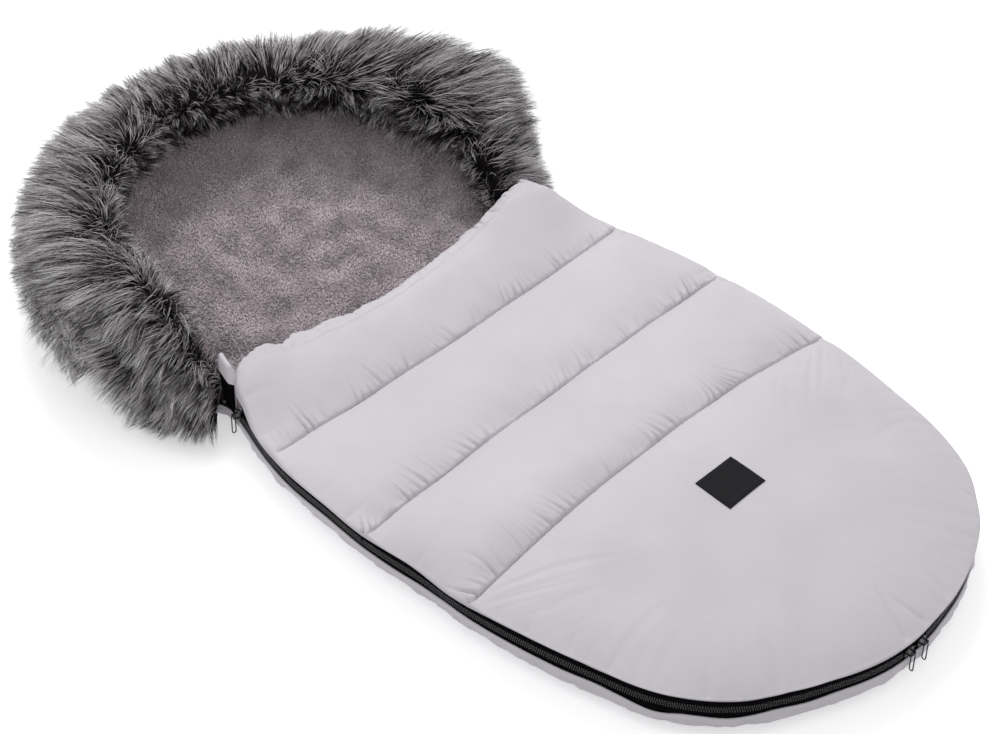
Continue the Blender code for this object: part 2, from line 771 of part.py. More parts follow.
def build_slider(end_name, side, s, wedge_up, meshes):
    """Slider with its pull at zip length s, under empties on the travel axis and the pull's axis."""
    hand = "right" if side > 0 else "left"
    point, normal = zip_frame(s)
    centre = TOE_CENTRE if s <= TOE_ARC else SIDE_CENTRE
    travel = empty(f"{end_name}_slider_{hand}_travel", (side * centre.x, centre.y, ZIP_LEVEL))
    outward = Vector((side * normal.x, normal.y, 0.0))
    along = Vector((-outward.y, outward.x, 0.0)) * side
    if not wedge_up:
        along = -along
    up = along.cross(outward)
    turn = Matrix((along, outward, up)).transposed().to_4x4()
    turn.translation = Vector((side * point.x, point.y, ZIP_LEVEL))
    slider = bpy.data.objects.new(f"{end_name}_slider_{hand}", meshes[0])
    bpy.context.collection.objects.link(slider)
    slider.matrix_world = turn
    attach(slider, travel)
    pull = bpy.data.objects.new(f"{end_name}_pull_{hand}", meshes[1])
    bpy.context.collection.objects.link(pull)
    across = Vector((-outward.y, outward.x, 0.0))
    hang = Matrix((-across, outward, Vector((0.0, 0.0, 1.0)))).transposed().to_4x4()
    hang.translation = turn.translation + outward * BRIDGE_HEIGHT
    pull.matrix_world = hang
    attach(pull, slider)


def build_garage(side, material):
    """Folded fabric tab that closes off the top of a zip at the shoulder."""
    hand = "right" if side > 0 else "left"
    low = BACK_RIM + SOFT_GAP
    base = ZIP_LENGTH + END_GAP
    half = GARAGE_HALF_THICKNESS
    sections = []
    steps = 6
    for k in range(steps + 1):
        share = k / steps
        station = zip_frame(base + GARAGE_LENGTH * share)
        bow = math.sqrt(max(1.0 - (2 * share - 1) ** 4, 0.05))
        high = mix(low + 0.3 * (GARAGE_TOP - low), GARAGE_TOP, bow)
        profile = (
            (-half, low),
            (half, low),
            (half, high - half),
            (half / 2, high),
            (-half / 2, high),
            (-half, high - half),
        )
        section = [placed(station, offset, height) for offset, height in profile]
        sections.append(mirrored(section, side))
    return swept_solid(f"zip_garage_{hand}", sections, material)


def edge_distance(x, y):
    """Distance inward from the zip line."""
    place = Vector((abs(x), y))
    from_toe = place - TOE_CENTRE
    if from_toe.y < 0 and math.atan2(from_toe.x, -from_toe.y) < JUNCTION:
        return max(TOE_RADIUS - from_toe.length, 0.0)
    return max(SIDE_RADIUS - (place - SIDE_CENTRE).length, 0.0)


def crown_height(y):
    """Height of the cover's middle line, without its channels."""
    places = (ZIP_TOE_Y, *SEAM_Y, HEM_CORNER_Y)
    heights = (TOE_CROWN, *SEAM_CROWN, HEM_CROWN)
    if y <= places[0]:
        return heights[0]
    for k in range(len(places) - 1):
        if y <= places[k + 1]:
            share = (y - places[k]) / (places[k + 1] - places[k])
            return mix(heights[k], heights[k + 1], share)
    return heights[-1]


def base_height(x, y):
    """Height of the cover at the bottom of its seams: an arch from zip to zip."""
    reach = min(edge_distance(x, y) / ARCH_REACH, 1.0)
    arch = 1.0 - (1.0 - reach) ** ARCH_POWER
    return COVER_SHOULDER + (crown_height(y) - COVER_SHOULDER) * arch


def puff(distance, reach):
    """Fullness of a channel at a distance from its seam, from 0 to 1."""
    return 1.0 - (1.0 - min(max(distance, 0.0) / reach, 1.0)) ** 3


def hem_y(x):
    """Place of the cover's top hem at x: lowest in the middle and drawn up to each shoulder."""
    share = min(abs(x) / side_x(HEM_CORNER_Y), 1.0)
    return mix(HEM_MIDDLE_Y, HEM_CORNER_Y, share ** 2)


def top_height(panel, x, y):
    """Height of the quilted outer face of a panel."""
    fullness = puff(edge_distance(x, y), EDGE_REACH)
    height = PUFF_HEIGHT[panel]
    if panel == 0:
        fullness *= puff(SEAM_Y[0] - y, PUFF_REACH)
    elif panel < 3:
        fullness *= puff(y - SEAM_Y[panel - 1], PUFF_REACH) * puff(SEAM_Y[panel] - y, PUFF_REACH)
    else:
        rounding = puff(hem_y(x) - y, HEM_ROUNDING)
        edge = HEM_THICKNESS / height
        fullness *= puff(y - SEAM_Y[2], PUFF_REACH) * mix(edge, 1.0, rounding)
    return base_height(x, y) + height * fullness


def across_shares(steps, power=0.75):
    """Shares from -1 to 1 that crowd towards both ends."""
    shares = []
    for k in range(steps + 1):
        value = 2.0 * k / steps - 1.0
        bent = math.copysign(1.0 - (1.0 - abs(value)) ** (1.0 / power), value)
        shares.append(mix(value, bent, 0.5))
    return shares


def along_shares(steps):
    """Shares from 0 to 1 that crowd towards both ends."""
    return [0.5 - 0.5 * math.cos(math.pi * k / steps) for k in range(steps + 1)]


def corner_x(y, offset):
    """Side of a panel at y: the zip line, then the curve of the shoulder corner."""
    draw_in = max(y - CORNER_START_Y, 0.0) ** 2 / CORNER_BEND
    return side_x(y, offset) - draw_in


def band_limits(panel, seam_inset):
    """Lower and upper y of one of the three panels above the toe panel; the top one ends at its hem."""
    low = SEAM_Y[panel - 1] + seam_inset
    if panel < 3:
        return low, SEAM_Y[panel] - seam_inset
    return low, None


def band_grid(panel, edge_offset, seam_inset, hem_inset=0.0, steps=(ACROSS_STEPS, ALONG_STEPS)):
    """Plan points of a panel from zip to zip, row by row from its lower seam."""
    low, high = band_limits(panel, seam_inset)
    rows = []
    for share in along_shares(steps[1]):
        row = []
        for across in across_shares(steps[0]):
            if high is not None:
                y = mix(low, high, share)
                x = across * side_x(y, edge_offset)
            else:
                level = mix(low, HEM_CORNER_Y - hem_inset, share)
                x = across * corner_x(level, edge_offset)
                y = mix(low, hem_y(x) - hem_inset, share)
            row.append((x, y))
        rows.append(row)
    return rows


def toe_grid(edge_offset, seam_inset, steps=(ACROSS_STEPS + 6, ALONG_STEPS)):
    """Plan points of the toe panel, row by row from its seam to the toe."""
    seam = SEAM_Y[0] - seam_inset
    corner = side_x(seam, edge_offset)
    corner_s = zip_length_at(seam, edge_offset)
    rows = []
    for share in along_shares(steps[1]):
        row = []
        for across in across_shares(steps[0], power=1.0):
            point = zip_frame(abs(across) * corner_s, edge_offset)[0]
            end_x = math.copysign(point.x, across)
            row.append((mix(across * corner, end_x, share), mix(seam, point.y, share)))
        rows.append(row)
    return rows


def skirt_sizes():
    """Offset and height pairs of the cover's turned-down edge: outer face, then inner face."""
    inner = TAPE_CLEARANCE + COIL_HALF_THICKNESS / 2
    outer = inner + COVER_SKIN
    turn = COVER_SHOULDER - COVER_SKIN - SOFT_GAP
    return (outer, COVER_EDGE), (outer, turn), (inner, COVER_EDGE), (inner, turn)


def build_band_quilt(panel, name, material):
    """Outer fabric of a band panel: crowned between its seams, turned down at each zip."""
    grid = band_grid(panel, -2 * SOFT_GAP, SEAM_GAP / 2)
    outer_low, outer_turn, inner_low, inner_turn = skirt_sizes()
    outer_rows = []
    inner_rows = []
    for row in grid:
        outer = [(x, y, top_height(panel, x, y)) for x, y in row]
        inner = [(x, y, top_height(panel, x, y) - COVER_SKIN) for x, y in row]
        for side, end in ((-1, 0), (1, -1)):
            y = row[end][1]
            draw_in = side_x(y) - corner_x(y, 0.0)
            for rows, low, turn in ((outer, outer_low, outer_turn), (inner, inner_low, inner_turn)):
                edge = [(side * (side_x(y, size[0]) - draw_in), y, size[1]) for size in (low, turn)]
                if side < 0:
                    rows[0:0] = edge
                else:
                    rows.extend(reversed(edge))
        outer_rows.append(outer)
        inner_rows.append(inner)
    if panel == 3:
        turn_down_hem(outer_rows, inner_rows)
    return skin_solid(name, outer_rows, inner_rows, material)


def turn_down_hem(outer_rows, inner_rows):
    """Fold the top edge of the cover down over the edge of its lining."""
    outer_rows.append([])
    for x, y, z in outer_rows[-2]:
        low = min(base_height(x, y) - COVER_SKIN - COVER_LINING, z - COVER_SKIN)
        outer_rows[-1].append((x, y, max(low, COVER_EDGE) if z < COVER_SHOULDER else low))
    folded = [(x, y - COVER_SKIN, z) for x, y, z in inner_rows[-1]]
    inner_rows[-1] = folded
    inner_rows.append([])
    for (x, y, z), (_, _, low) in zip(folded, outer_rows[-1]):
        inner_rows[-1].append((x, y, low))


def build_toe_quilt(material):
    """Outer fabric of the toe panel: one full dome, turned down along both zips."""
    grid = toe_grid(-2 * SOFT_GAP, SEAM_GAP / 2)
    outer_low, outer_turn, inner_low, inner_turn = skirt_sizes()
    outer_rows = [[(x, y, top_height(0, x, y)) for x, y in row] for row in grid]
    inner_rows = [[(x, y, top_height(0, x, y) - COVER_SKIN) for x, y in row] for row in grid]
    for rows, sizes in ((outer_rows, (outer_turn, outer_low)), (inner_rows, (inner_turn, inner_low))):
        for offset, height in sizes:
            edge = toe_grid(offset, SEAM_GAP / 2)[-1]
            rows.append([(x, y, height) for x, y in edge])
    return skin_solid("toe_panel_quilt", outer_rows, inner_rows, material)


def slab_rows(grid, top_of, bottom_of):
    """Two grids of points, over and under, from plan points and two height rules."""
    over = [[(x, y, top_of(x, y)) for x, y in row] for row in grid]
    under = [[(x, y, bottom_of(x, y)) for x, y in row] for row in grid]
    return over, under


def build_cover_lining(panel, name, material):
    """Plush lining of a panel, an even sheet that follows the arch."""
    if panel == 0:
        grid = toe_grid(-TAPE_CLEARANCE, SEAM_GAP / 2, (ACROSS_STEPS, 5))
    else:
        hem = COVER_SKIN + 4 * SOFT_GAP
        grid = band_grid(panel, -TAPE_CLEARANCE, SEAM_GAP / 2, hem, (ACROSS_STEPS - 2, 3))
    drop = COVER_SKIN + 2 * SOFT_GAP
    over, under = slab_rows(
        grid,
        lambda x, y: base_height(x, y) - drop,
        lambda x, y: base_height(x, y) - drop - COVER_LINING,
    )
    return skin_solid(name, over, under, material)


def build_cover_wadding(panel, name, material):
    """Wadding that fills a channel between the outer fabric and the lining."""
    if panel == 0:
        grid = toe_grid(-WADDING_EDGE_INSET, WADDING_SEAM_INSET, (ACROSS_STEPS, ALONG_STEPS))
    else:
        grid = band_grid(panel, -WADDING_EDGE_INSET, WADDING_SEAM_INSET,
                         WADDING_SEAM_INSET, (ACROSS_STEPS - 4, 5))
    over, under = slab_rows(
        grid,
        lambda x, y: top_height(panel, x, y) - COVER_SKIN - WADDING_CLEARANCE,
        lambda x, y: base_height(x, y) - COVER_SKIN + SOFT_GAP,
    )
    return skin_solid(name, over, under, material)


def build_hem_elastic(material):
    """Elastic inside the top hem."""
    sections = []
    reach = side_x(HEM_CORNER_Y) - ELASTIC_INSET
    steps = ACROSS_STEPS - 2
    inset = COVER_SKIN + 2 * SOFT_GAP
    for k in range(steps + 1):
        x = mix(-reach, reach, k / steps)
        y = hem_y(x) - inset
        low = base_height(x, y) - COVER_SKIN + SOFT_GAP
        sections.append([
            (x, y, low),
            (x, y, low + ELASTIC_WIDTH),
            (x, y - ELASTIC_THICKNESS, low + ELASTIC_WIDTH),
            (x, y - ELASTIC_THICKNESS, low),
        ])
    return swept_solid("hem_elastic", sections, material)


def build_patch(material):
    """Bare sewn-on patch that follows the toe panel."""
    middle = TOE_Y + PATCH_FROM_TOE
    grid = []
    for j in range(6):
        y = middle + PATCH_WIDTH * (j / 5 - 0.5)
        grid.append([(PATCH_LENGTH * (i / 6 - 0.5), y) for i in range(7)])
    over, under = slab_rows(
        grid,
        lambda x, y: top_height(0, x, y) + 2 * SOFT_GAP + PATCH_THICKNESS,
        lambda x, y: top_height(0, x, y) + 2 * SOFT_GAP,
    )
    return skin_solid("toe_patch", over, under, material)


def seam_axis(seam):
    """Place of the fold line at a quilting seam, on top of the fabric there."""
    height = max(SEAM_CROWN[seam], COVER_SHOULDER) + SOFT_GAP
    return (0.0, SEAM_Y[seam], height)


def toe_axis():
    """Place of the line on which the whole cover folds over the toe."""
    outer = skirt_sizes()[0][0]
    return (0.0, ZIP_TOE_Y - outer - SOFT_GAP, COVER_SHOULDER + SOFT_GAP)


def clear_scene():
    """Remove every object of the open file."""
    for item in list(bpy.data.objects):
        bpy.data.objects.remove(item, do_unlink=True)


def main():
    """Build the whole footmuff."""
    clear_scene()
    fabric = make_material("shell_fabric", (0.62, 0.60, 0.64), 0.55)
    wadding = make_material("wadding", (0.85, 0.85, 0.85), 0.95)
    plush = make_material("plush", (0.23, 0.20, 0.21), 0.95)
    fur = make_material("fur", (0.10, 0.10, 0.105), 0.8)
    webbing = make_material("webbing", (0.012, 0.012, 0.013), 0.7)
    metal = make_material("dark_metal", (0.02, 0.02, 0.022), 0.35, 0.9)
    rubber = make_material("elastic", (0.7, 0.7, 0.7), 0.8)

    outline = back_outline()
    shell = build_back_shell(outline, fabric)
    lining = build_plush_lining(outline, plush)
    filling = build_back_wadding(outline, wadding)
    cut_harness_slots((shell, lining, filling))
    build_slot_bindings(webbing)
    build_rim_binding(webbing)
    build_fur_trim(fur)

    toe_fold = empty("toe_fold", toe_axis())
    holders = [toe_fold]
    for seam, name in enumerate(("lower_seam_fold", "middle_seam_fold", "upper_seam_fold")):
        holders.append(empty(name, seam_axis(seam), holders[-1]))
    names = ("toe_panel", "lower_panel", "middle_panel", "top_panel")
    for panel, name in enumerate(names):
        if panel == 0:
            quilt = build_toe_quilt(fabric)
        else:
            quilt = build_band_quilt(panel, f"{name}_quilt", fabric)
        attach(quilt, holders[panel])
        attach(build_cover_lining(panel, f"{name}_lining", plush), holders[panel])
        attach(build_cover_wadding(panel, f"{name}_wadding", wadding), holders[panel])
    attach(build_patch(webbing), holders[0])
    attach(build_hem_elastic(rubber), holders[3])

    seam_s = [zip_length_at(y) for y in SEAM_Y]
    starts = [COVER_ZIP_INSET] + [s + SEAM_GAP / 2 for s in seam_s]
    ends = [s - SEAM_GAP / 2 for s in seam_s] + [ZIP_LENGTH - COVER_ZIP_INSET]
    stop_reach = STOP_LENGTH + 2 * END_GAP
    meshes = (slider_mesh(metal), pull_mesh(metal))
    for side, hand in ((-1, "left"), (1, "right")):
        zip_half(f"back_zip_half_{hand}", side, stop_reach, ZIP_LENGTH - stop_reach, False, webbing)
        build_zip_stop(f"bottom_stop_{hand}", side, END_GAP, metal)
        build_zip_stop(f"top_stop_{hand}", side, ZIP_LENGTH - STOP_LENGTH - END_GAP, metal)
        for panel, name in enumerate(names):
            half = zip_half(f"{name}_zip_half_{hand}", side, starts[panel], ends[panel], True, webbing)
            attach(half, holders[panel])
        build_slider("bottom", side, SLIDER_PARK, False, meshes)
        build_slider("top", side, ZIP_LENGTH - SLIDER_PARK, True, meshes)
        build_garage(side, fabric)


main()
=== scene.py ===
"""Looks of a winter footmuff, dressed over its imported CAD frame.

The footmuff lies on its back on a pale floor: a padded back, a quilted cover on two side zips, a plush
lining and a hood edged with long fur. Units are metres, +Z is up and the toe points to -Y.
"""

import logging
import math
from dataclasses import dataclass, field
from enum import Enum
from typing import Optional, Sequence

import bpy
import numpy as np
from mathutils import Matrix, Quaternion, Vector
from mathutils.bvhtree import BVHTree
from mathutils.geometry import delaunay_2d_cdt


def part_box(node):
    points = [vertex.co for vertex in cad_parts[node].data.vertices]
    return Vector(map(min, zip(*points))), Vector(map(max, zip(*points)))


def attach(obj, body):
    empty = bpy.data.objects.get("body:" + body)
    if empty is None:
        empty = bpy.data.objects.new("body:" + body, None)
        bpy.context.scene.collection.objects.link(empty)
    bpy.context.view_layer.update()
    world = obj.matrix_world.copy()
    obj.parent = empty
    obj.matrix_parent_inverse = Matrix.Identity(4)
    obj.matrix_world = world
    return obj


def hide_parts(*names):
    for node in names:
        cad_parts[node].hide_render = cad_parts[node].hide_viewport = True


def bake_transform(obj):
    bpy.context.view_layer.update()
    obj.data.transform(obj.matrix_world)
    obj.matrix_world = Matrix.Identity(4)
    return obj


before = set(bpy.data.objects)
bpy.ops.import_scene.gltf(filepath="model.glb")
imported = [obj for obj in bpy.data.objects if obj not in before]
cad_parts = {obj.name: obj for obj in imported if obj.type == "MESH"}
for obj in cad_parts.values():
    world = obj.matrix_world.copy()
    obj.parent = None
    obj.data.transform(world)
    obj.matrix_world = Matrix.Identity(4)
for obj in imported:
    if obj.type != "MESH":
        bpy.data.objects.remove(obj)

log = logging.getLogger("footmuff")

Array = np.ndarray
Colour = tuple[float, float, float]


class Hand(Enum):
    """Side of the footmuff."""

    LEFT = -1
    RIGHT = 1

    @property
    def word(self) -> str:
        """Word that the CAD nodes use for this side."""
        return self.name.lower()


class Panel(Enum):
    """Quilted panels of the cover, from the toe to the hem."""

    TOE = 0
    LOWER = 1
    MIDDLE = 2
    TOP = 3

    @property
    def body(self) -> str:
        """CAD body that carries the panel."""
        return f"{self.name.lower()}_panel"


def linear(red: int, green: int, blue: int) -> Colour:
    """Linear colour of an 8-bit display colour."""
    values = []
    for channel in (red, green, blue):
        share = channel / 255.0
        values.append(share / 12.92 if share <= 0.04045 else ((share + 0.055) / 1.055) ** 2.4)
    return tuple(values)


def mix(a: Array, b: Array, share: Array) -> Array:
    """Straight blend of two values."""
    return a + (b - a) * share


def smoothstep(value: Array, low: float = 0.0, high: float = 1.0) -> Array:
    """Ease from 0 at low to 1 at high."""
    t = np.clip((value - low) / (high - low), 0.0, 1.0)
    return t * t * (3.0 - 2.0 * t)


def bump_between(value: Array, low: float, high: float) -> Array:
    """Smooth hump: 0 at low and high, 1 halfway."""
    t = np.clip((value - low) / (high - low), 0.0, 1.0)
    return np.sin(np.pi * t) ** 2


@dataclass(frozen=True)
class Ripple:
    """Seeded smooth noise made of a few plane waves.

    Args:
        size: usual distance from one crest to the next, in metres.
        seed: seed of the waves.
        waves: number of waves.
    """

    size: float
    seed: int
    waves: int = 9

    def __call__(self, *axes: Array) -> Array:
        """Value of the noise, about -1 to 1.

        Args:
            axes: one array for each coordinate.

        Returns:
            Array of the shape that the coordinates have.
        """
        rng = np.random.default_rng(self.seed)
        total = 0.0
        for _ in range(self.waves):
            direction = rng.normal(size=len(axes))
            direction /= np.linalg.norm(direction)
            rate = 2.0 * math.pi / self.size * rng.uniform(0.6, 1.6)
            phase = rng.uniform(0.0, 2.0 * math.pi)
            total = total + np.sin(sum(d * np.asarray(a) for d, a in zip(direction, axes)) * rate + phase)
        return total / math.sqrt(self.waves) * 0.85


# Plan and heights


@dataclass(frozen=True)
class BagPlan:
    """Plan outline of the footmuff: tangent arcs for the toe, the sides, the necks and the hood."""

    length: float = 1.020
    half_width: float = 0.2424
    toe_radius: float = 0.222
    side_radius: float = 0.826
    neck_radius: float = 0.030
    hood_radius: float = 0.225
    fur_outward: float = 0.045
    pull_reach: float = 0.0093
    hood_blend: float = math.radians(25.0)
    hem_above_zip: float = 0.0178
    hem_dip: float = 0.024
    corner_bend: float = 0.0357
    zip_inset: float = 0.0153
    seam_shares: tuple[float, float, float] = (0.4686, 0.6591, 0.8496)
    seam_skews: tuple[tuple[float, float], ...] = ((-0.004, -0.003), (-0.007, 0.0), (0.0, -0.006))

    @property
    def toe_y(self) -> float:
        """Foremost point of the whole footmuff."""
        return -self.length / 2

    @property
    def zip_toe_y(self) -> float:
        """Place of the zip line at the toe."""
        return self.toe_y + self.pull_reach

    @property
    def toe_centre(self) -> Array:
        """Centre of the toe arc."""
        return np.array([0.0, self.zip_toe_y + self.toe_radius])

    @property
    def junction(self) -> float:
        """Heading at which the toe arc meets the side arc."""
        return math.asin((self.side_radius - self.half_width) / (self.side_radius - self.toe_radius))

    @property
    def side_centre(self) -> Array:
        """Centre of the right-hand side arc."""
        a = self.junction
        return self.toe_centre + (self.toe_radius - self.side_radius) * np.array([math.sin(a), -math.cos(a)])

    @property
    def hood_centre(self) -> Array:
        """Centre of the hood arc."""
        return np.array([0.0, self.length / 2 - self.fur_outward - self.hood_radius])

    @property
    def toe_arc(self) -> float:
        """Length of the zip line on the toe arc, from the toe's middle."""
        return self.toe_radius * self.junction

    @property
    def neck(self) -> tuple[Array, float, float]:
        """Centre of the right-hand neck arc, and the headings at which it meets the side and the hood."""
        between = self.hood_centre - self.side_centre
        span = float(np.hypot(*between))
        to_side = self.side_radius + self.neck_radius
        to_hood = self.hood_radius + self.neck_radius
        spread = (span ** 2 + to_side ** 2 - to_hood ** 2) / (2 * span * to_side)
        heading = math.atan2(between[1], between[0]) - math.acos(spread)
        centre = self.side_centre + to_side * np.array([math.cos(heading), math.sin(heading)])
        from_hood = centre - self.hood_centre
        return centre, heading, math.atan2(from_hood[1], from_hood[0])

    @property
    def zip_length(self) -> float:
        """Length of the zip line from the toe's middle to the neck."""
        return self.toe_arc + self.side_radius * (self.neck[1] + math.pi / 2 - self.junction)

    @property
    def zip_end_y(self) -> float:
        """Place of the end of the zip line."""
        return float(self.side_centre[1] + self.side_radius * math.sin(self.neck[1]))

    @property
    def hem_corner_y(self) -> float:
        """Place of the hem at the shoulders."""
        return self.zip_end_y + self.hem_above_zip

    @property
    def hem_middle_y(self) -> float:
        """Place of the hem on the centre line."""
        return self.hem_corner_y - self.hem_dip

    @property
    def seam_y(self) -> tuple[float, ...]:
        """Place of each quilting seam."""
        return tuple(self.toe_y + share * (self.hem_corner_y - self.toe_y) for share in self.seam_shares)

    @property
    def corner_start_y(self) -> float:
        """Place at which the cover's shoulder starts to curve inward."""
        heading = self.neck[1] - self.zip_inset / self.side_radius
        return float(self.side_centre[1] + self.side_radius * math.sin(heading))

    def seam_line(self, number: int, x: Array) -> Array:
        """Place of a seam at x, with the small skew that the sewn cover shows."""
        left, right = self.seam_skews[number]
        share = np.clip(0.5 + np.asarray(x) / (2 * self.half_width), 0.0, 1.0)
        return self.seam_y[number] + mix(left, right, share)

    def zip_point(self, s: Array, offset: Array = 0.0) -> tuple[Array, Array]:
        """Points on the right-hand zip line.

        Args:
            s: distance along the zip from the toe's middle.
            offset: distance outward from the zip line.

        Returns:
            Points and outward directions, each with one row for each station.
        """
        s = np.asarray(s, float)
        on_toe = (s <= self.toe_arc)[..., None]
        angle = np.where(s <= self.toe_arc, s / self.toe_radius,
                         self.junction + (s - self.toe_arc) / self.side_radius)
        normal = np.stack([np.sin(angle), -np.cos(angle)], axis=-1)
        centre = np.where(on_toe, self.toe_centre, self.side_centre)
        radius = np.where(s <= self.toe_arc, self.toe_radius, self.side_radius)
        return centre + (radius + offset)[..., None] * normal, normal

    def side_x(self, y: Array, offset: float = 0.0) -> Array:
        """Distance from the centre line to the side arc at y."""
        radius = self.side_radius + offset
        return self.side_centre[0] + np.sqrt(radius ** 2 - (y - self.side_centre[1]) ** 2)

    def corner_x(self, y: Array, offset: float = 0.0) -> Array:
        """Side of the cover at y: the zip line, then the curve of the shoulder corner."""
        return self.side_x(y, offset) - np.maximum(y - self.corner_start_y, 0.0) ** 2 / self.corner_bend

    def zip_s_at(self, y: float, offset: float = 0.0) -> float:
        """Zip length at which the side arc crosses y."""
        angle = math.acos((self.side_centre[1] - y) / (self.side_radius + offset))
        return self.toe_arc + self.side_radius * (angle - self.junction)

    def _from_centres(self, x: Array, y: Array) -> tuple[Array, Array, Array]:
        """Nearest arc of the zip line, worked out on the right-hand side.

        Args:
            x: distances from the centre line, of either sign.
            y: places along the footmuff.

        Returns:
            Whether the toe arc is the nearest, and the vectors from the toe's and the side's arc centres.
        """
        spot = np.stack([np.abs(x), y], axis=-1)
        toe, side = spot - self.toe_centre, spot - self.side_centre
        on_toe = (toe[..., 1] < 0) & (np.arctan2(toe[..., 0], -toe[..., 1]) < self.junction)
        return on_toe, toe, side

    def zip_s(self, x: Array, y: Array) -> Array:
        """Zip length of the station nearest to a point, negative on the left."""
        on_toe, toe, side = self._from_centres(x, y)
        toe_s = np.arctan2(toe[..., 0], -toe[..., 1]) * self.toe_radius
        side_s = self.toe_arc + self.side_radius * (np.arctan2(side[..., 0], -side[..., 1]) - self.junction)
        return np.sign(x) * np.where(on_toe, toe_s, side_s)

    def beyond(self, x: Array, y: Array) -> Array:
        """Distance outward past the zip line; negative inside it."""
        on_toe, toe, side = self._from_centres(x, y)
        toe_reach = np.hypot(toe[..., 0], toe[..., 1]) - self.toe_radius
        return np.where(on_toe, toe_reach, np.hypot(side[..., 0], side[..., 1]) - self.side_radius)

    def edge_distance(self, x: Array, y: Array) -> Array:
        """Distance inward from the zip line."""
        return np.maximum(-self.beyond(x, y), 0.0)

    def outward(self, x: Array, y: Array) -> Array:
        """Outward direction of the zip line nearest to a point."""
        on_toe, toe, side = self._from_centres(x, y)
        way = np.where(on_toe[..., None], toe, side)
        way = way / (np.linalg.norm(way, axis=-1, keepdims=True) + 1e-12)
        sign = np.where(x < 0, -1.0, 1.0)
        return way * np.stack([sign, np.ones_like(sign)], axis=-1)

    def warped(self, points: Array) -> Array:
        """Points moved with the soft wander that the zip line has on the filled footmuff.

        Args:
            points: any array of points in space.

        Returns:
            Moved points; deep inside the outline they stay.
        """
        x, y = points[..., 0], points[..., 1]
        amount = WANDER(self.zip_s(x, y)) * (1 - smoothstep(y, 0.09, 0.13))
        amount = amount * np.exp(-self.edge_distance(x, y) / 0.035)
        moved = points.copy()
        moved[..., :2] += self.outward(x, y) * amount[..., None]
        return moved

    def hem_y(self, x: Array) -> Array:
        """Place of the cover's hem at x."""
        share = np.minimum(np.abs(x) / self.side_x(self.hem_corner_y), 1.0)
        return mix(self.hem_middle_y, self.hem_corner_y, share ** 2)

    def hood_line(self, angle: Array) -> tuple[Array, Array, Array]:
        """Stations of the hood arc.

        Args:
            angle: heading about the hood's centre, from +X.

        Returns:
            Points, outward directions and share of the hood's full height.
        """
        angle = np.asarray(angle, float)
        normal = np.stack([np.cos(angle), np.sin(angle)], axis=-1)
        rise = np.where(angle <= math.pi / 2, angle, math.pi - angle)
        share = smoothstep((rise - self.neck[2]) / self.hood_blend)
        return self.hood_centre + self.hood_radius * normal, normal, share

    def outline(self, step: float) -> tuple[Array, Array, Array]:
        """Closed plan outline, anticlockwise from the toe's middle.

        Args:
            step: usual distance between stations.

        Returns:
            Points, outward directions and share of the hood's full height.
        """
        s = np.linspace(0.0, self.zip_length, int(self.zip_length / step))
        points, normals = self.zip_point(s)
        centre, heading, hood_start = self.neck
        turn = np.linspace(heading + math.pi, hood_start + math.pi, 6)[1:-1]
        inward = np.stack([np.cos(turn), np.sin(turn)], axis=-1)
        arc = self.hood_radius * (math.pi / 2 - hood_start)
        hood = self.hood_line(np.linspace(hood_start, math.pi / 2, int(arc / step)))
        points = np.concatenate([points, centre + self.neck_radius * inward, hood[0]])
        normals = np.concatenate([normals, -inward, hood[1]])
        shares = np.concatenate([np.zeros(len(points) - len(hood[2])), hood[2]])
        mirror = np.array([-1.0, 1.0])
        points = np.concatenate([points, points[-2:0:-1] * mirror])
        normals = np.concatenate([normals, normals[-2:0:-1] * mirror])
        return points, normals, np.concatenate([shares, shares[-2:0:-1]])


@dataclass(frozen=True)
class BackProfile:
    """Heights and offsets of the padded back and its plush, between the body's and the hood's."""

    back_rim: float = 0.027
    back_undercut: float = 0.070
    back_bulge: float = 0.003
    hood_rim: float = 0.091
    hood_undercut: float = 0.065
    hood_bulge: float = 0.006
    bulge_level: float = 0.60
    edge_offset: float = 0.0032
    lining_floor: float = 0.017
    lining_wall: float = 0.0047
    body_fillet: float = 0.030
    hood_wall: float = 0.018
    hood_fillet: float = 0.060
    hood_rise: float = 0.060

    def rim(self, share: Array) -> Array:
        """Height of the back's edge."""
        return mix(self.back_rim, self.hood_rim, share)

    def outside(self, share: Array, turn: float) -> tuple[Array, Array]:
        """Outer face of the shell.

        Args:
            share: share of the hood's full height at each station.
            turn: from 0 at the foot to 1 at the bulge and 2 at the edge.

        Returns:
            Offsets outward from the outline and heights.
        """
        rim = self.rim(share)
        undercut = mix(self.back_undercut, self.hood_undercut, share)
        bulge = mix(self.back_bulge, self.hood_bulge, share)
        level = self.bulge_level * rim
        angle = min(turn, 1.0) * math.pi / 2
        offset = -undercut + (undercut + bulge) * math.sin(angle)
        height = level * (1 - math.cos(angle))
        upper = max(turn - 1.0, 0.0)
        return mix(offset, self.edge_offset, upper ** 2.2), mix(height, rim, upper)

    def plush(self, share: Array, turn: float) -> tuple[Array, Array]:
        """Face of the plush, from its floor at turn 0 through the fillet's end at 1 to the edge at 2."""
        rim = self.rim(share) - 0.001
        wall = mix(self.lining_wall, self.hood_wall, share)
        fillet = mix(self.body_fillet, self.hood_fillet, share)
        rise = mix(self.back_rim - 0.002 - self.lining_floor, self.hood_rise, share)
        angle = min(turn, 1.0) * math.pi / 2
        offset = -wall - fillet + fillet * math.sin(angle)
        height = self.lining_floor + rise * (1 - math.cos(angle))
        upper = max(turn - 1.0, 0.0)
        return offset, mix(height, rim, upper)


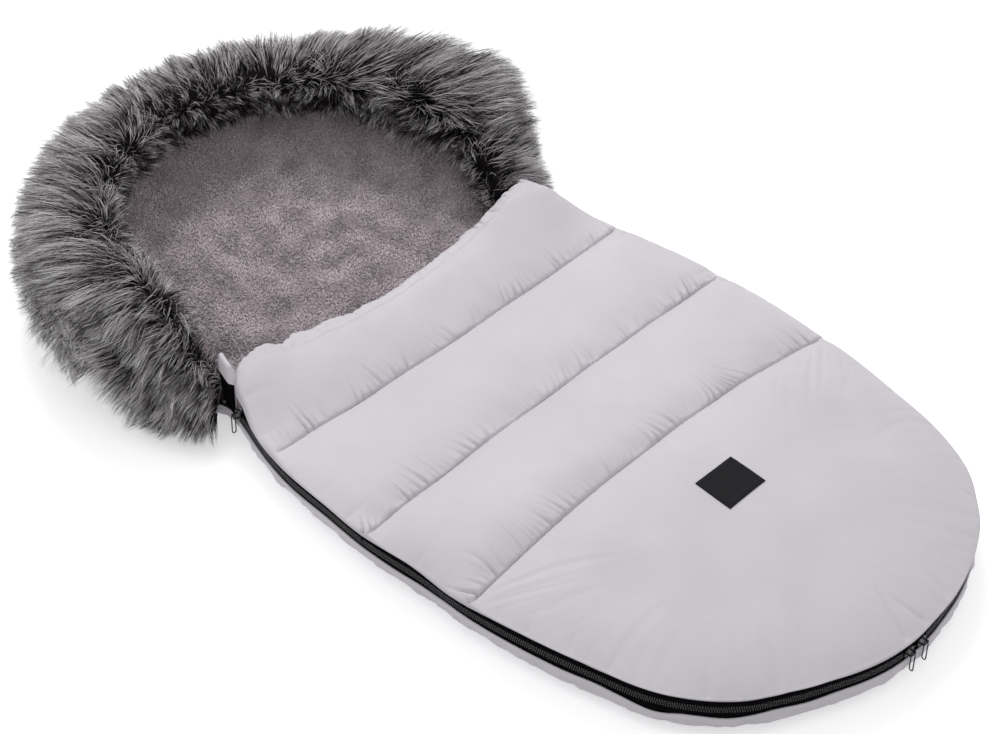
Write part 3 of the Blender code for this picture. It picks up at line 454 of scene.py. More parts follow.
@dataclass(frozen=True)
class CoverHeights:
    """Heights of the quilted cover: an arch from zip to zip with a crowned channel on each panel."""

    plan: BagPlan
    shoulder: float = 0.049
    skin: float = 0.0012
    lining: float = 0.0030
    toe_crown: float = 0.061
    seam_crown: tuple[float, float, float] = (0.076, 0.055, 0.043)
    hem_crown: float = 0.045
    hem_lift: float = 0.013
    corner_lift: float = 0.011
    hem_thickness: float = 0.006
    puff_height: tuple[float, ...] = (0.0125, 0.0140, 0.0120, 0.0110)
    puff_reach: float = 0.062
    edge_reach: float = 0.060
    arch_reach: float = 0.200
    arch_power: float = 1.8
    hem_rounding: float = 0.020

    def crown(self, y: Array) -> Array:
        """Height of the cover's middle line at the bottom of its seams."""
        plan = self.plan
        places = (plan.zip_toe_y, *plan.seam_y, plan.hem_corner_y)
        return np.interp(y, places, (self.toe_crown, *self.seam_crown, self.hem_crown))

    def base(self, x: Array, y: Array) -> Array:
        """Height of the arch at the bottom of the seams."""
        reach = np.minimum(self.plan.edge_distance(x, y) / self.arch_reach, 1.0)
        lift = self.hem_lift * smoothstep(y, 0.055, 0.135)
        lift = lift + self.corner_lift * smoothstep(y, 0.060, 0.125) * smoothstep(np.abs(x), 0.12, 0.20)
        arch = 1.0 - (1.0 - reach) ** self.arch_power
        return self.shoulder + lift + (self.crown(y) - self.shoulder) * arch

    @staticmethod
    def puff(distance: Array, reach: float) -> Array:
        """Fullness of a channel at a distance from its seam."""
        return 1.0 - (1.0 - np.clip(distance / reach, 0.0, 1.0)) ** 3

    def top(self, panel: int, x: Array, y: Array) -> Array:
        """Height of the outer face of a panel."""
        plan = self.plan
        fullness = self.puff(plan.edge_distance(x, y), self.edge_reach)
        if panel == 0:
            fullness = fullness * self.puff(plan.seam_line(0, x) - y, self.puff_reach)
        elif panel < 3:
            fullness = fullness * self.puff(y - plan.seam_line(panel - 1, x), self.puff_reach)
            fullness = fullness * self.puff(plan.seam_line(panel, x) - y, self.puff_reach)
        else:
            rounding = self.puff(plan.hem_y(x) - y, self.hem_rounding)
            edge = self.hem_thickness / self.puff_height[3]
            fullness = fullness * self.puff(y - plan.seam_line(2, x), self.puff_reach)
            fullness = fullness * mix(edge, 1.0, rounding)
        return self.base(x, y) + self.puff_height[panel] * fullness


@dataclass(frozen=True)
class ZipTable:
    """A size that changes along the zip line, eased between its stations.

    Args:
        stations: signed zip length and value of each station, in millimetres.
        ease: how far the values are smoothed, in metres.
    """

    stations: tuple[tuple[float, float], ...]
    ease: float = 0.009

    def __call__(self, s: Array) -> Array:
        """Value at a signed zip length, in metres."""
        step = 0.003
        line = np.arange(-0.80, 0.80, step)
        places, values = np.array(self.stations).T / 1000.0
        kernel = np.exp(-(np.arange(-12, 13) * step / self.ease) ** 2 / 2)
        steps = np.pad(np.interp(line, places, values), 12, mode="edge")
        smooth = np.convolve(steps, kernel / kernel.sum(), "valid")
        return np.interp(s, line, smooth)


WANDER = ZipTable(((-740, 0), (-690, 4), (-650, 4), (-600, 0), (-550, 0), (-485, -5), (-430, -1), (-290, -1),
                   (-240, 4), (-200, 5), (-165, 4), (-140, -1), (-90, -4), (-30, 0), (50, 0), (110, 5),
                   (150, 8), (200, 10), (320, 4), (500, 1), (740, 0)))
BAND = ZipTable(((-740, 15), (-700, 12), (-640, 15), (-560, 14), (-500, 19), (-450, 12), (-400, 18),
                 (-325, 22), (-295, 18), (-240, 27), (-215, 21), (-180, 24), (-140, 18), (-115, 22),
                 (-80, 17), (0, 18), (80, 19), (150, 14), (172, 11), (200, 18), (740, 16)), ease=0.006)
PLAN = BagPlan()
BACK = BackProfile()
COVER = CoverHeights(PLAN)


@dataclass(frozen=True)
class ZipBand:
    """The dark band of zip that shows between the cover's edge and the back's edge."""

    level: float = 0.035
    upper_share: float = 0.58
    cover_limits: tuple[float, float] = (0.0400, 0.0464)
    back_upper_limit: float = 0.0478
    back_limits: tuple[float, float] = (0.0215, 0.0300)
    shoulder_rise: float = 0.012

    def _top(self, s: Array, limit: float) -> Array:
        """Height of the band's upper edge at a zip length."""
        return np.clip(self.level + self.upper_share * BAND(s), self.cover_limits[0], limit)

    def cover_edge(self, x: Array, y: Array) -> Array:
        """Height of the cover's lower edge, which frees more of the tape at the shoulders."""
        rise = self.shoulder_rise * smoothstep(y, 0.085, 0.112)
        return self._top(PLAN.zip_s(x, y), self.cover_limits[1]) + rise

    def back_edge(self, x: Array, y: Array) -> Array:
        """Height of the back's edge along the zip."""
        s = PLAN.zip_s(x, y)
        return np.clip(self._top(s, self.back_upper_limit) - BAND(s), *self.back_limits)


ZIP = ZipBand()


# Meshes


def mesh_object(name: str, points: Array, faces: Sequence[Array], materials: Sequence[bpy.types.Material],
                slots: Optional[Array] = None, smooth_below: float = 180.0) -> bpy.types.Object:
    """Mesh object from arrays.

    Args:
        name: name of the piece.
        points: one row for each vertex.
        faces: arrays of vertex indices, each with one row for each face of that size.
        materials: materials of the piece.
        slots: material of each face, in the order of the faces.
        smooth_below: edges bent more than this many degrees are shaded sharp.

    Returns:
        The new object, in the scene.
    """
    mesh = bpy.data.meshes.new(name)
    mesh.vertices.add(len(points))
    mesh.vertices.foreach_set("co", np.ascontiguousarray(points, np.float32).ravel())
    corners = np.concatenate([np.asarray(f, np.int32).ravel() for f in faces])
    sizes = np.concatenate([np.full(len(f), f.shape[1], np.int32) for f in faces])
    starts = np.concatenate([[0], np.cumsum(sizes)[:-1]]).astype(np.int32)
    mesh.loops.add(len(corners))
    mesh.loops.foreach_set("vertex_index", corners)
    mesh.polygons.add(len(sizes))
    mesh.polygons.foreach_set("loop_start", starts)
    if slots is not None:
        mesh.polygons.foreach_set("material_index", np.asarray(slots, np.int32))
    for material in materials:
        mesh.materials.append(material)
    mesh.update(calc_edges=True)
    mesh.shade_smooth()
    if smooth_below < 180.0:
        mesh.set_sharp_from_angle(angle=math.radians(smooth_below))
    piece = bpy.data.objects.new(name, mesh)
    bpy.context.collection.objects.link(piece)
    return piece


def grid_faces(rows: int, columns: int, wrap: bool = False, start: int = 0) -> Array:
    """Quads of a grid of vertices that is numbered row by row.

    Args:
        rows: rows of vertices.
        columns: vertices in a row.
        wrap: whether the last column joins the first.
        start: index of the first vertex.

    Returns:
        One row of four indices for each quad.
    """
    index = np.arange(rows * columns).reshape(rows, columns) + start
    if wrap:
        index = np.concatenate([index, index[:, :1]], axis=1)
    quads = [index[:-1, :-1], index[:-1, 1:], index[1:, 1:], index[1:, :-1]]
    return np.stack([q.ravel() for q in quads], axis=-1)


def swept_faces(count: int, size: int) -> list[Array]:
    """Sides and end caps through count sections of size points each, as arrays of faces."""
    caps = np.stack([np.arange(size)[::-1], np.arange(size) + (count - 1) * size])
    return [grid_faces(count, size, wrap=True), caps]


def swept_piece(name: str, sections: Array, material: bpy.types.Material,
                smooth_below: float = 50.0) -> bpy.types.Object:
    """Closed piece through sections of equal point count, shaped (sections, points, 3)."""
    faces = swept_faces(*sections.shape[:2])
    return mesh_object(name, sections.reshape(-1, 3), faces, [material], smooth_below=smooth_below)


def bar_faces(count: int, sides: int, first: int = 0) -> list[Array]:
    """Sides and caps of many short bars, each with two rings of vertices.

    Args:
        count: number of bars.
        sides: vertices in a ring.
        first: index of the first vertex.

    Returns:
        The quads, and the caps with one row of indices each.
    """
    base = (first + np.arange(count) * 2 * sides)[:, None]
    ring = np.arange(sides)
    ahead = np.roll(ring, -1)
    around = np.stack([ring, ahead, ahead + sides, ring + sides], axis=-1)
    quads = (base[:, :, None] + around[None]).reshape(-1, 4)
    return [quads, np.concatenate([base + ring[::-1], base + ring + sides])]


def tapered_strands(paths: Array, radii: Array, seed: int) -> tuple[Array, list[Array]]:
    """Closed three-sided hairs along centre lines, each ending in a point.

    Args:
        paths: centre lines, shaped (strands, points, 3).
        radii: radius at each point but the last, shaped (strands, points - 1).
        seed: seed of the hairs' roll.

    Returns:
        Vertices, and triangles and quads of all the hairs.
    """
    rng = np.random.default_rng(seed)
    count, size, _ = paths.shape
    tangent = np.gradient(paths, axis=1)
    tangent /= np.linalg.norm(tangent, axis=-1, keepdims=True) + 1e-12
    roll = rng.normal(size=(count, 1, 3))
    side = roll - (roll * tangent).sum(-1, keepdims=True) * tangent
    side /= np.linalg.norm(side, axis=-1, keepdims=True) + 1e-12
    up = np.cross(tangent, side)
    rings = []
    for k in range(3):
        angle = 2 * math.pi * k / 3
        spoke = math.cos(angle) * side[:, :-1] + math.sin(angle) * up[:, :-1]
        rings.append(paths[:, :-1] + radii[..., None] * spoke)
    body = np.stack(rings, axis=2).reshape(count, -1, 3)
    vertices = np.concatenate([body, paths[:, -1:]], axis=1)
    per = vertices.shape[1]
    quads = []
    for level in range(size - 2):
        for k in range(3):
            low, high = 3 * level, 3 * level + 3
            quads.append([low + k, low + (k + 1) % 3, high + (k + 1) % 3, high + k])
    last = 3 * (size - 2)
    triangles = [[2, 1, 0]] + [[last + k, last + (k + 1) % 3, per - 1] for k in range(3)]
    base = (np.arange(count) * per)[:, None, None]
    faces = [(base + np.array(triangles)[None]).reshape(-1, 3)]
    if quads:
        faces.append((base + np.array(quads)[None]).reshape(-1, 4))
    return vertices.reshape(-1, 3), faces


def vertex_values(piece: bpy.types.Object, name: str, values: Array) -> None:
    """Store one number for each vertex under a name that a material reads."""
    layer = piece.data.attributes.new(name, "FLOAT", "POINT")
    layer.data.foreach_set("value", np.ascontiguousarray(values, np.float32).ravel())


@dataclass(frozen=True)
class Pile:
    """A coat of hairs, made in pieces small enough to keep all their faces.

    Args:
        name: what each piece's name starts with.
        material: material of the hairs.
        slot: not used; passed on to fix_to, which ignores it.
        share: hairs in a piece.
        seed: seed of the first piece.
        digits: digits of the number in a piece's name.
    """

    name: str
    material: bpy.types.Material
    slot: str
    share: int
    seed: int
    digits: int = 1

    def build(self, paths: Array, radii: Array, tone: Array) -> list[bpy.types.Object]:
        """Make the pieces.

        Args:
            paths: centre lines, shaped (hairs, points, 3).
            radii: radius at each point but the last.
            tone: one number for each hair, from dark to light.

        Returns:
            The pieces, which ride on the back.
        """
        rings = paths.shape[1] - 1
        along = np.concatenate([np.repeat(np.arange(rings) / rings, 3), [1.0]])
        pieces = []
        for number, start in enumerate(range(0, len(paths), self.share)):
            part = slice(start, start + self.share)
            points, faces = tapered_strands(paths[part], radii[part], self.seed + number)
            piece = mesh_object(f"{self.name}_{number + 1:0{self.digits}d}", points, faces, [self.material])
            vertex_values(piece, "along", np.tile(along, len(tone[part])))
            vertex_values(piece, "tone", np.repeat(tone[part], len(along)))
            pieces.append(fix_to(piece, "back", self.slot))
        return pieces


def fix_to(piece: bpy.types.Object, body: str, slot: str, *nodes: str) -> bpy.types.Object:
    """Ride a piece on a body and let it stand for CAD nodes, which are hidden."""
    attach(piece, body)
    if nodes:
        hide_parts(*nodes)
    log.info("%s on %s", piece.name, body)
    return piece


# Finishes


class NodeSheet:
    """Short way to write a node tree.

    Args:
        tree: the tree that gets the nodes.
    """

    def __init__(self, tree: bpy.types.NodeTree) -> None:
        """Hold the tree."""
        self.tree = tree

    def add(self, kind: str, inputs: Optional[dict] = None, **settings: object) -> bpy.types.Node:
        """Add a node.

        Args:
            kind: type of the node.
            inputs: socket name or number with its value, or with the output to link to it.
            settings: properties of the node.

        Returns:
            The new node.
        """
        node = self.tree.nodes.new(kind)
        for key, value in settings.items():
            setattr(node, key, value)
        self.set(node, inputs or {})
        return node

    def set(self, node: bpy.types.Node, inputs: dict) -> None:
        """Give a node's sockets their values.

        Args:
            node: the node.
            inputs: socket name or number with its value, or with the output to link to it.
        """
        for key, value in inputs.items():
            socket = node.inputs[key]
            if isinstance(value, bpy.types.NodeSocket):
                self.tree.links.new(value, socket)
            elif isinstance(value, tuple) and len(value) == 3 and socket.type == "RGBA":
                socket.default_value = (*value, 1.0)
            else:
                socket.default_value = value

    def noise(self, place: bpy.types.NodeSocket, scale: object, detail: float = 2.0,
              **more: float) -> bpy.types.NodeSocket:
        """Noise value at a place."""
        inputs = {"Vector": place, "Scale": scale, "Detail": detail}
        inputs.update({key.capitalize(): value for key, value in more.items()})
        return self.add("ShaderNodeTexNoise", inputs).outputs["Fac"]

    def math(self, operation: str, a: object, b: object = 0.0) -> bpy.types.NodeSocket:
        """Result of one sum."""
        return self.add("ShaderNodeMath", {0: a, 1: b}, operation=operation).outputs[0]

    def ramp(self, value: object, low: float, high: float, to_low: float = 0.0,
             to_high: float = 1.0) -> bpy.types.NodeSocket:
        """Value moved from one range to another and held there."""
        node = self.add("ShaderNodeMapRange", {"Value": value, "From Min": low, "From Max": high,
                                               "To Min": to_low, "To Max": to_high})
        return node.outputs["Result"]

    def blend(self, share: object, a: object, b: object) -> bpy.types.NodeSocket:
        """Mix of two colours."""
        return self.add("ShaderNodeMix", {0: share, 6: a, 7: b}, data_type="RGBA").outputs[2]

    def group(self, tree: bpy.types.NodeTree, inputs: dict) -> bpy.types.NodeOutputs:
        """Outputs of a shared effect."""
        return self.add("ShaderNodeGroup", inputs, node_tree=tree).outputs

    def place(self) -> bpy.types.NodeSocket:
        """Position in the object's own frame."""
        return self.add("ShaderNodeTexCoord").outputs["Object"]

    def bump(self, height: object, distance: float, strength: float = 1.0,
             normal: Optional[bpy.types.NodeSocket] = None) -> bpy.types.NodeSocket:
        """Normal of a relief."""
        inputs = {"Height": height, "Distance": distance, "Strength": strength}
        if normal is not None:
            inputs["Normal"] = normal
        return self.add("ShaderNodeBump", inputs).outputs["Normal"]


def new_group(name: str, inputs: dict[str, float], outputs: dict[str, str]) -> bpy.types.NodeTree:
    """Empty shader node group.

    Args:
        name: name of the group.
        inputs: name and default value of each number that goes in; Place is a vector.
        outputs: name and socket type of what comes out.

    Returns:
        The group, without its nodes.
    """
    group = bpy.data.node_groups.new(name, "ShaderNodeTree")
    group.interface.new_socket("Place", in_out="INPUT", socket_type="NodeSocketVector")
    for key, value in inputs.items():
        socket = group.interface.new_socket(key, in_out="INPUT", socket_type="NodeSocketFloat")
        socket.default_value = value
    for key, kind in outputs.items():
        group.interface.new_socket(key, in_out="OUTPUT", socket_type=kind)
    return group


class SharedEffects:
    """Node groups that several finishes use."""

    def __init__(self) -> None:
        """Build every group once."""
        self.weave = self._weave()
        self.mottle = self._mottle()

    def _weave(self) -> bpy.types.NodeTree:
        """Plain weave: a relief of crossing threads and a mask that is 1 on top of them."""
        group = new_group("plain_weave", {"Thread": 0.0006},
                          {"Relief": "NodeSocketFloat", "Crown": "NodeSocketFloat"})
        sheet = NodeSheet(group)
        start = group.nodes.new("NodeGroupInput")
        end = group.nodes.new("NodeGroupOutput")
        rate = sheet.math("DIVIDE", math.pi, start.outputs["Thread"])
        split = sheet.add("ShaderNodeSeparateXYZ", {0: start.outputs["Place"]})
        along = sheet.math("SINE", sheet.math("MULTIPLY", split.outputs["X"], rate))
        lengthwise = sheet.math("ADD", split.outputs["Y"], split.outputs["Z"])
        across = sheet.math("SINE", sheet.math("MULTIPLY", lengthwise, rate))
        product = sheet.math("MULTIPLY", along, across)
        relief = sheet.ramp(product, -1.0, 1.0)
        group.links.new(relief, end.inputs["Relief"])
        group.links.new(sheet.ramp(product, 0.2, 0.9), end.inputs["Crown"])
        return group

    def _mottle(self) -> bpy.types.NodeTree:
        """Soft patches at two sizes, as a mask from 0 to 1."""
        group = new_group("soft_mottle", {"Size": 0.05}, {"Mask": "NodeSocketFloat"})
        sheet = NodeSheet(group)
        start = group.nodes.new("NodeGroupInput")
        end = group.nodes.new("NodeGroupOutput")
        rate = sheet.math("DIVIDE", 1.0, start.outputs["Size"])
        wide = sheet.noise(start.outputs["Place"], rate, 1.0)
        fine = sheet.noise(start.outputs["Place"], sheet.math("MULTIPLY", rate, 3.7))
        both = sheet.math("ADD", sheet.math("MULTIPLY", wide, 0.65), sheet.math("MULTIPLY", fine, 0.35))
        group.links.new(sheet.ramp(both, 0.32, 0.68), end.inputs["Mask"])
        return group


def start_material(name: str) -> tuple[bpy.types.Material, NodeSheet, bpy.types.Node]:
    """New material with its node sheet and its Principled shader."""
    material = bpy.data.materials.new(name)
    material.use_nodes = True
    return material, NodeSheet(material.node_tree), material.node_tree.nodes["Principled BSDF"]


@dataclass(frozen=True)
class ShellFabric:
    """Smooth tightly woven shell cloth with a faint sheen."""

    name: str
    colour: Colour
    thread: float = 0.0006
    roughness: float = 0.56
    crease: float = 0.0006
    shade: float = 0.94
    patch_size: float = 0.09

    def material(self, effects: SharedEffects) -> bpy.types.Material:
        """Material of the cloth.

        Args:
            effects: shared node groups.

        Returns:
            The material.
        """
        material, sheet, shader = start_material(self.name)
        place = sheet.place()
        weave = sheet.group(effects.weave, {"Place": place, "Thread": self.thread})
        mottle = sheet.group(effects.mottle, {"Place": place, "Size": self.patch_size})
        darker = tuple(c * self.shade for c in self.colour)
        # Painted highlight: the thread tops, where the weave's crown mask is 1, take a colour up to 5%
        # lighter.
        lighter = tuple(min(c * 1.05, 1.0) for c in self.colour)
        patches = sheet.blend(mottle["Mask"], darker, self.colour)
        threads = sheet.blend(sheet.math("MULTIPLY", weave["Crown"], 0.30), patches, lighter)
        folds = sheet.noise(place, 42.0, 3.0, distortion=0.6)
        normal = sheet.bump(folds, self.crease, 0.55)
        sheet.set(shader, {
            "Base Color": threads,
            "Roughness": sheet.ramp(mottle["Mask"], 0.0, 1.0, self.roughness + 0.04, self.roughness - 0.04),
            "Normal": sheet.bump(weave["Relief"], self.thread * 0.18, 0.5, normal),
            "Specular IOR Level": 0.32, "Sheen Weight": 0.12, "Sheen Roughness": 0.45})
        return material


@dataclass(frozen=True)
class PlushFinish:
    """Short dense pile with brushed patches and painted shade in the hollows between its tufts."""

    name: str
    colour: Colour
    # dark: painted shade, in the low hollows of the pile between its tufts.
    dark: Colour
    light: Colour
    patch_size: float = 0.045
    brushed_along: float = 0.45

    def material(self, effects: SharedEffects) -> bpy.types.Material:
        """Material of the plush.

        Args:
            effects: shared node groups.

        Returns:
            The material.
        """
        material, sheet, shader = start_material(self.name)
        place = sheet.place()
        mottle = sheet.group(effects.mottle, {"Place": place, "Size": self.patch_size})
        stretch = {"Vector": place, "Scale": (1.0, self.brushed_along, 1.0)}
        pile = sheet.noise(sheet.add("ShaderNodeMapping", stretch).outputs[0], 620.0, 3.0,
                           roughness=0.7, distortion=0.8)
        brushed = sheet.blend(mottle["Mask"], self.colour, self.light)
        sheet.set(shader, {
            # The low hollows of the pile noise take the dark colour: painted shade between the tufts.
            "Base Color": sheet.blend(sheet.ramp(pile, 0.30, 0.52), self.dark, brushed),
            "Roughness": sheet.ramp(pile, 0.3, 0.7, 1.0, 0.85),
            "Normal": sheet.bump(pile, 0.0016, 0.8),
            "Specular IOR Level": 0.15, "Sheen Weight": 0.35, "Sheen Roughness": 0.55})
        return material


@dataclass(frozen=True)
class TuftFinish:
    """Hair whose colour runs from its root to its tip, with lighter and darker hairs.

    The mesh holds two numbers for each vertex: along, from 0 at the root to 1 at the tip, and tone, one
    random number for each hair.
    """

    name: str
    stops: tuple[tuple[float, Colour], ...]
    dark_stops: tuple[tuple[float, Colour], ...]
    roughness: float = 0.5
    sheen: float = 0.2
    shine: float = 0.14

    def _ramp(self, sheet: NodeSheet, value: bpy.types.NodeSocket,
              stops: tuple[tuple[float, Colour], ...]) -> bpy.types.NodeSocket:
        """Colour ramp along the hair."""
        node = sheet.add("ShaderNodeValToRGB", {"Fac": value})
        points = node.color_ramp.elements
        while len(points) < len(stops):
            points.new(0.5)
        for point, (place, colour) in zip(points, stops):
            point.position = place
            point.color = (*colour, 1.0)
        return node.outputs["Color"]

    def material(self) -> bpy.types.Material:
        """Material of the hair."""
        material, sheet, shader = start_material(self.name)
        along = sheet.add("ShaderNodeAttribute", attribute_name="along").outputs["Fac"]
        tone = sheet.add("ShaderNodeAttribute", attribute_name="tone").outputs["Fac"]
        light = self._ramp(sheet, along, self.stops)
        dark = self._ramp(sheet, along, self.dark_stops)
        sheet.set(shader, {
            "Base Color": sheet.blend(sheet.ramp(tone, 0.25, 0.75), dark, light),
            "Roughness": sheet.ramp(tone, 0.0, 1.0, self.roughness + 0.1, self.roughness - 0.08),
            "Sheen Weight": self.sheen, "Specular IOR Level": self.shine})
        return material


@dataclass(frozen=True)
class TapeFinish:
    """Woven narrow fabric, such as zip tape, binding and the bare patch, with a painted highlight on its
    thread tops.
    """

    name: str
    colour: Colour
    # lift: colour of the real lint specks, and of the painted highlight on the thread tops.
    lift: Colour
    thread: float = 0.0009
    roughness: float = 0.72
    shine: float = 0.08

    def material(self, effects: SharedEffects) -> bpy.types.Material:
        """Material of the tape.

        Args:
            effects: shared node groups.

        Returns:
            The material.
        """
        material, sheet, shader = start_material(self.name)
        place = sheet.place()
        weave = sheet.group(effects.weave, {"Place": place, "Thread": self.thread})
        lint = sheet.ramp(sheet.noise(place, 900.0), 0.55, 0.75, 0.0, 0.35)
        # Base colour mask: the weave's thread tops (painted highlight) plus real lint specks.
        crown = sheet.math("ADD", sheet.math("MULTIPLY", weave["Crown"], 0.55), lint)
        sheet.set(shader, {
            "Base Color": sheet.blend(crown, self.colour, self.lift),
            "Roughness": sheet.ramp(crown, 0.0, 1.0, self.roughness, self.roughness - 0.1),
            "Normal": sheet.bump(weave["Relief"], self.thread * 0.35, 0.9),
            "Specular IOR Level": self.shine})
        return material


@dataclass(frozen=True)
class MetalFinish:
    """Dark plated metal, a little worn."""

    name: str
    colour: Colour
    worn: Colour
    roughness: float = 0.34
    metallic: float = 0.85

    def material(self) -> bpy.types.Material:
        """Material of the metal."""
        material, sheet, shader = start_material(self.name)
        place = sheet.place()
        rub = sheet.ramp(sheet.noise(place, 700.0, 4.0), 0.56, 0.72)
        sheet.set(shader, {
            "Base Color": sheet.blend(rub, self.colour, self.worn),
            "Roughness": sheet.ramp(rub, 0.0, 1.0, self.roughness, self.roughness + 0.18),
            "Normal": sheet.bump(sheet.noise(place, 2200.0), 0.00004, 0.6),
            "Metallic": self.metallic})
        return material


@dataclass
class Wardrobe:
    """Every finish of the footmuff."""

    effects: SharedEffects = field(default_factory=SharedEffects)

    def __post_init__(self) -> None:
        """Make the materials."""
        effects = self.effects
        self.cover = ShellFabric("cover_cloth", linear(207, 203, 209)).material(effects)
        self.back = ShellFabric("back_cloth", linear(203, 199, 205), crease=0.0012).material(effects)
        # The sewing thread is darker than the cloth: partly its own colour, partly painted shade of the
        # seam's crease.
        self.thread = ShellFabric("sewing_thread", linear(176, 172, 178), thread=0.0004).material(effects)
        # The plush's dark colour is painted shade between its tufts.
        self.plush = PlushFinish("plush_base", linear(164, 153, 158), linear(84, 75, 79),
                                 linear(182, 171, 176)).material(effects)
        # The plush tufts darken from tip to root: painted shade down among the pile.
        self.tuft = TuftFinish(
            "plush_pile",
            ((0.0, linear(146, 134, 139)), (0.5, linear(214, 201, 206)), (1.0, linear(246, 234, 239))),
            ((0.0, linear(78, 69, 73)), (0.5, linear(148, 137, 142)), (1.0, linear(196, 184, 189))),
            roughness=0.8, sheen=0.35).material()
        self.fur = TuftFinish(
            "fur_pile",
            ((0.0, linear(8, 6, 7)), (0.26, linear(34, 29, 32)), (0.50, linear(216, 208, 212)),
             (0.85, linear(255, 253, 255)), (1.0, linear(236, 231, 234))),
            ((0.0, linear(5, 4, 5)), (0.5, linear(12, 9, 11)), (0.8, linear(52, 45, 48)),
             (1.0, linear(26, 21, 23))),
            roughness=0.40, sheen=0.0).material()
        self.undercoat = TuftFinish(
            "fur_undercoat",
            ((0.0, linear(14, 11, 13)), (1.0, linear(26, 22, 25))),
            ((0.0, linear(10, 8, 9)), (1.0, linear(20, 17, 19))), roughness=0.95, sheen=0.0).material()
        self.tape = TapeFinish("zip_tape", linear(10, 10, 11), linear(38, 37, 39), roughness=0.9,
                               shine=0.0).material(effects)
        # The coil's light lift colour on the weave's crowns is a painted highlight on its ribs.
        self.coil = TapeFinish("zip_coil", linear(40, 40, 43), linear(128, 128, 134), thread=0.0016,
                               roughness=0.36, shine=0.4).material(effects)
        self.binding = TapeFinish("slot_binding", linear(40, 39, 42), linear(76, 75, 79)).material(effects)
        self.patch = TapeFinish("patch_weave", linear(30, 30, 32), linear(52, 52, 56),
                                thread=0.0007).material(effects)
        self.metal = MetalFinish("dark_plating", linear(50, 50, 54), linear(120, 120, 124)).material()


# Cover


@dataclass(frozen=True)
class Gathers:
    """Short creases that run away from a sewn line, each with its own depth and length.

    Args:
        width: usual distance between creases.
        depth: depth of the deepest crease.
        reach: usual length of a crease.
        seed: seed of the creases.
    """

    width: float
    depth: float
    reach: float
    seed: int

    def __call__(self, along: Array, away: Array) -> Array:
        """Height to add: negative in a crease, a little positive between.

        Args:
            along: distance along the line.
            away: distance from the line.

        Returns:
            Heights, 0 on the far side of the line.
        """
        rng = np.random.default_rng(self.seed)
        cell_depth = rng.uniform(0.15, 1.0, 400)
        cell_reach = rng.uniform(0.5, 1.5, 400)
        cell_place = rng.uniform(0.35, 0.65, 400)
        q = along / self.width + 0.30 * Ripple(self.width * 4.5, self.seed + 1)(along, 0 * along)
        cell = np.floor(q).astype(int) % 400
        crease = np.exp(-(np.abs(q - np.floor(q) - cell_place[cell]) / 0.125) ** 1.5) * cell_depth[cell]
        near = np.maximum(away, 0.0)
        fade = np.clip(near / 0.0014, 0, 1) * np.exp(-(near / (self.reach * cell_reach[cell])) ** 1.4)
        return np.where(away >= 0, fade * self.depth * (0.22 - crease), 0.0)


@dataclass(frozen=True)
class ToeCrease:
    """One long crease that runs in from the zip at the toe.

    Args:
        place: zip length at which it starts.
        reach: its length.
        depth: its depth.
        lean: how far it leans along the zip for each metre inward.
    """

    place: float
    reach: float
    depth: float
    lean: float

    def __call__(self, along: Array, edge: Array) -> Array:
        """Depth of the crease at a zip length and a distance from the zip."""
        crease = np.exp(-((along - self.place - self.lean * edge) / 0.0028) ** 2)
        fade = 1 - smoothstep(edge, 0.3 * self.reach, self.reach)
        return self.depth * crease * smoothstep(edge, 0.0, 0.006) * fade


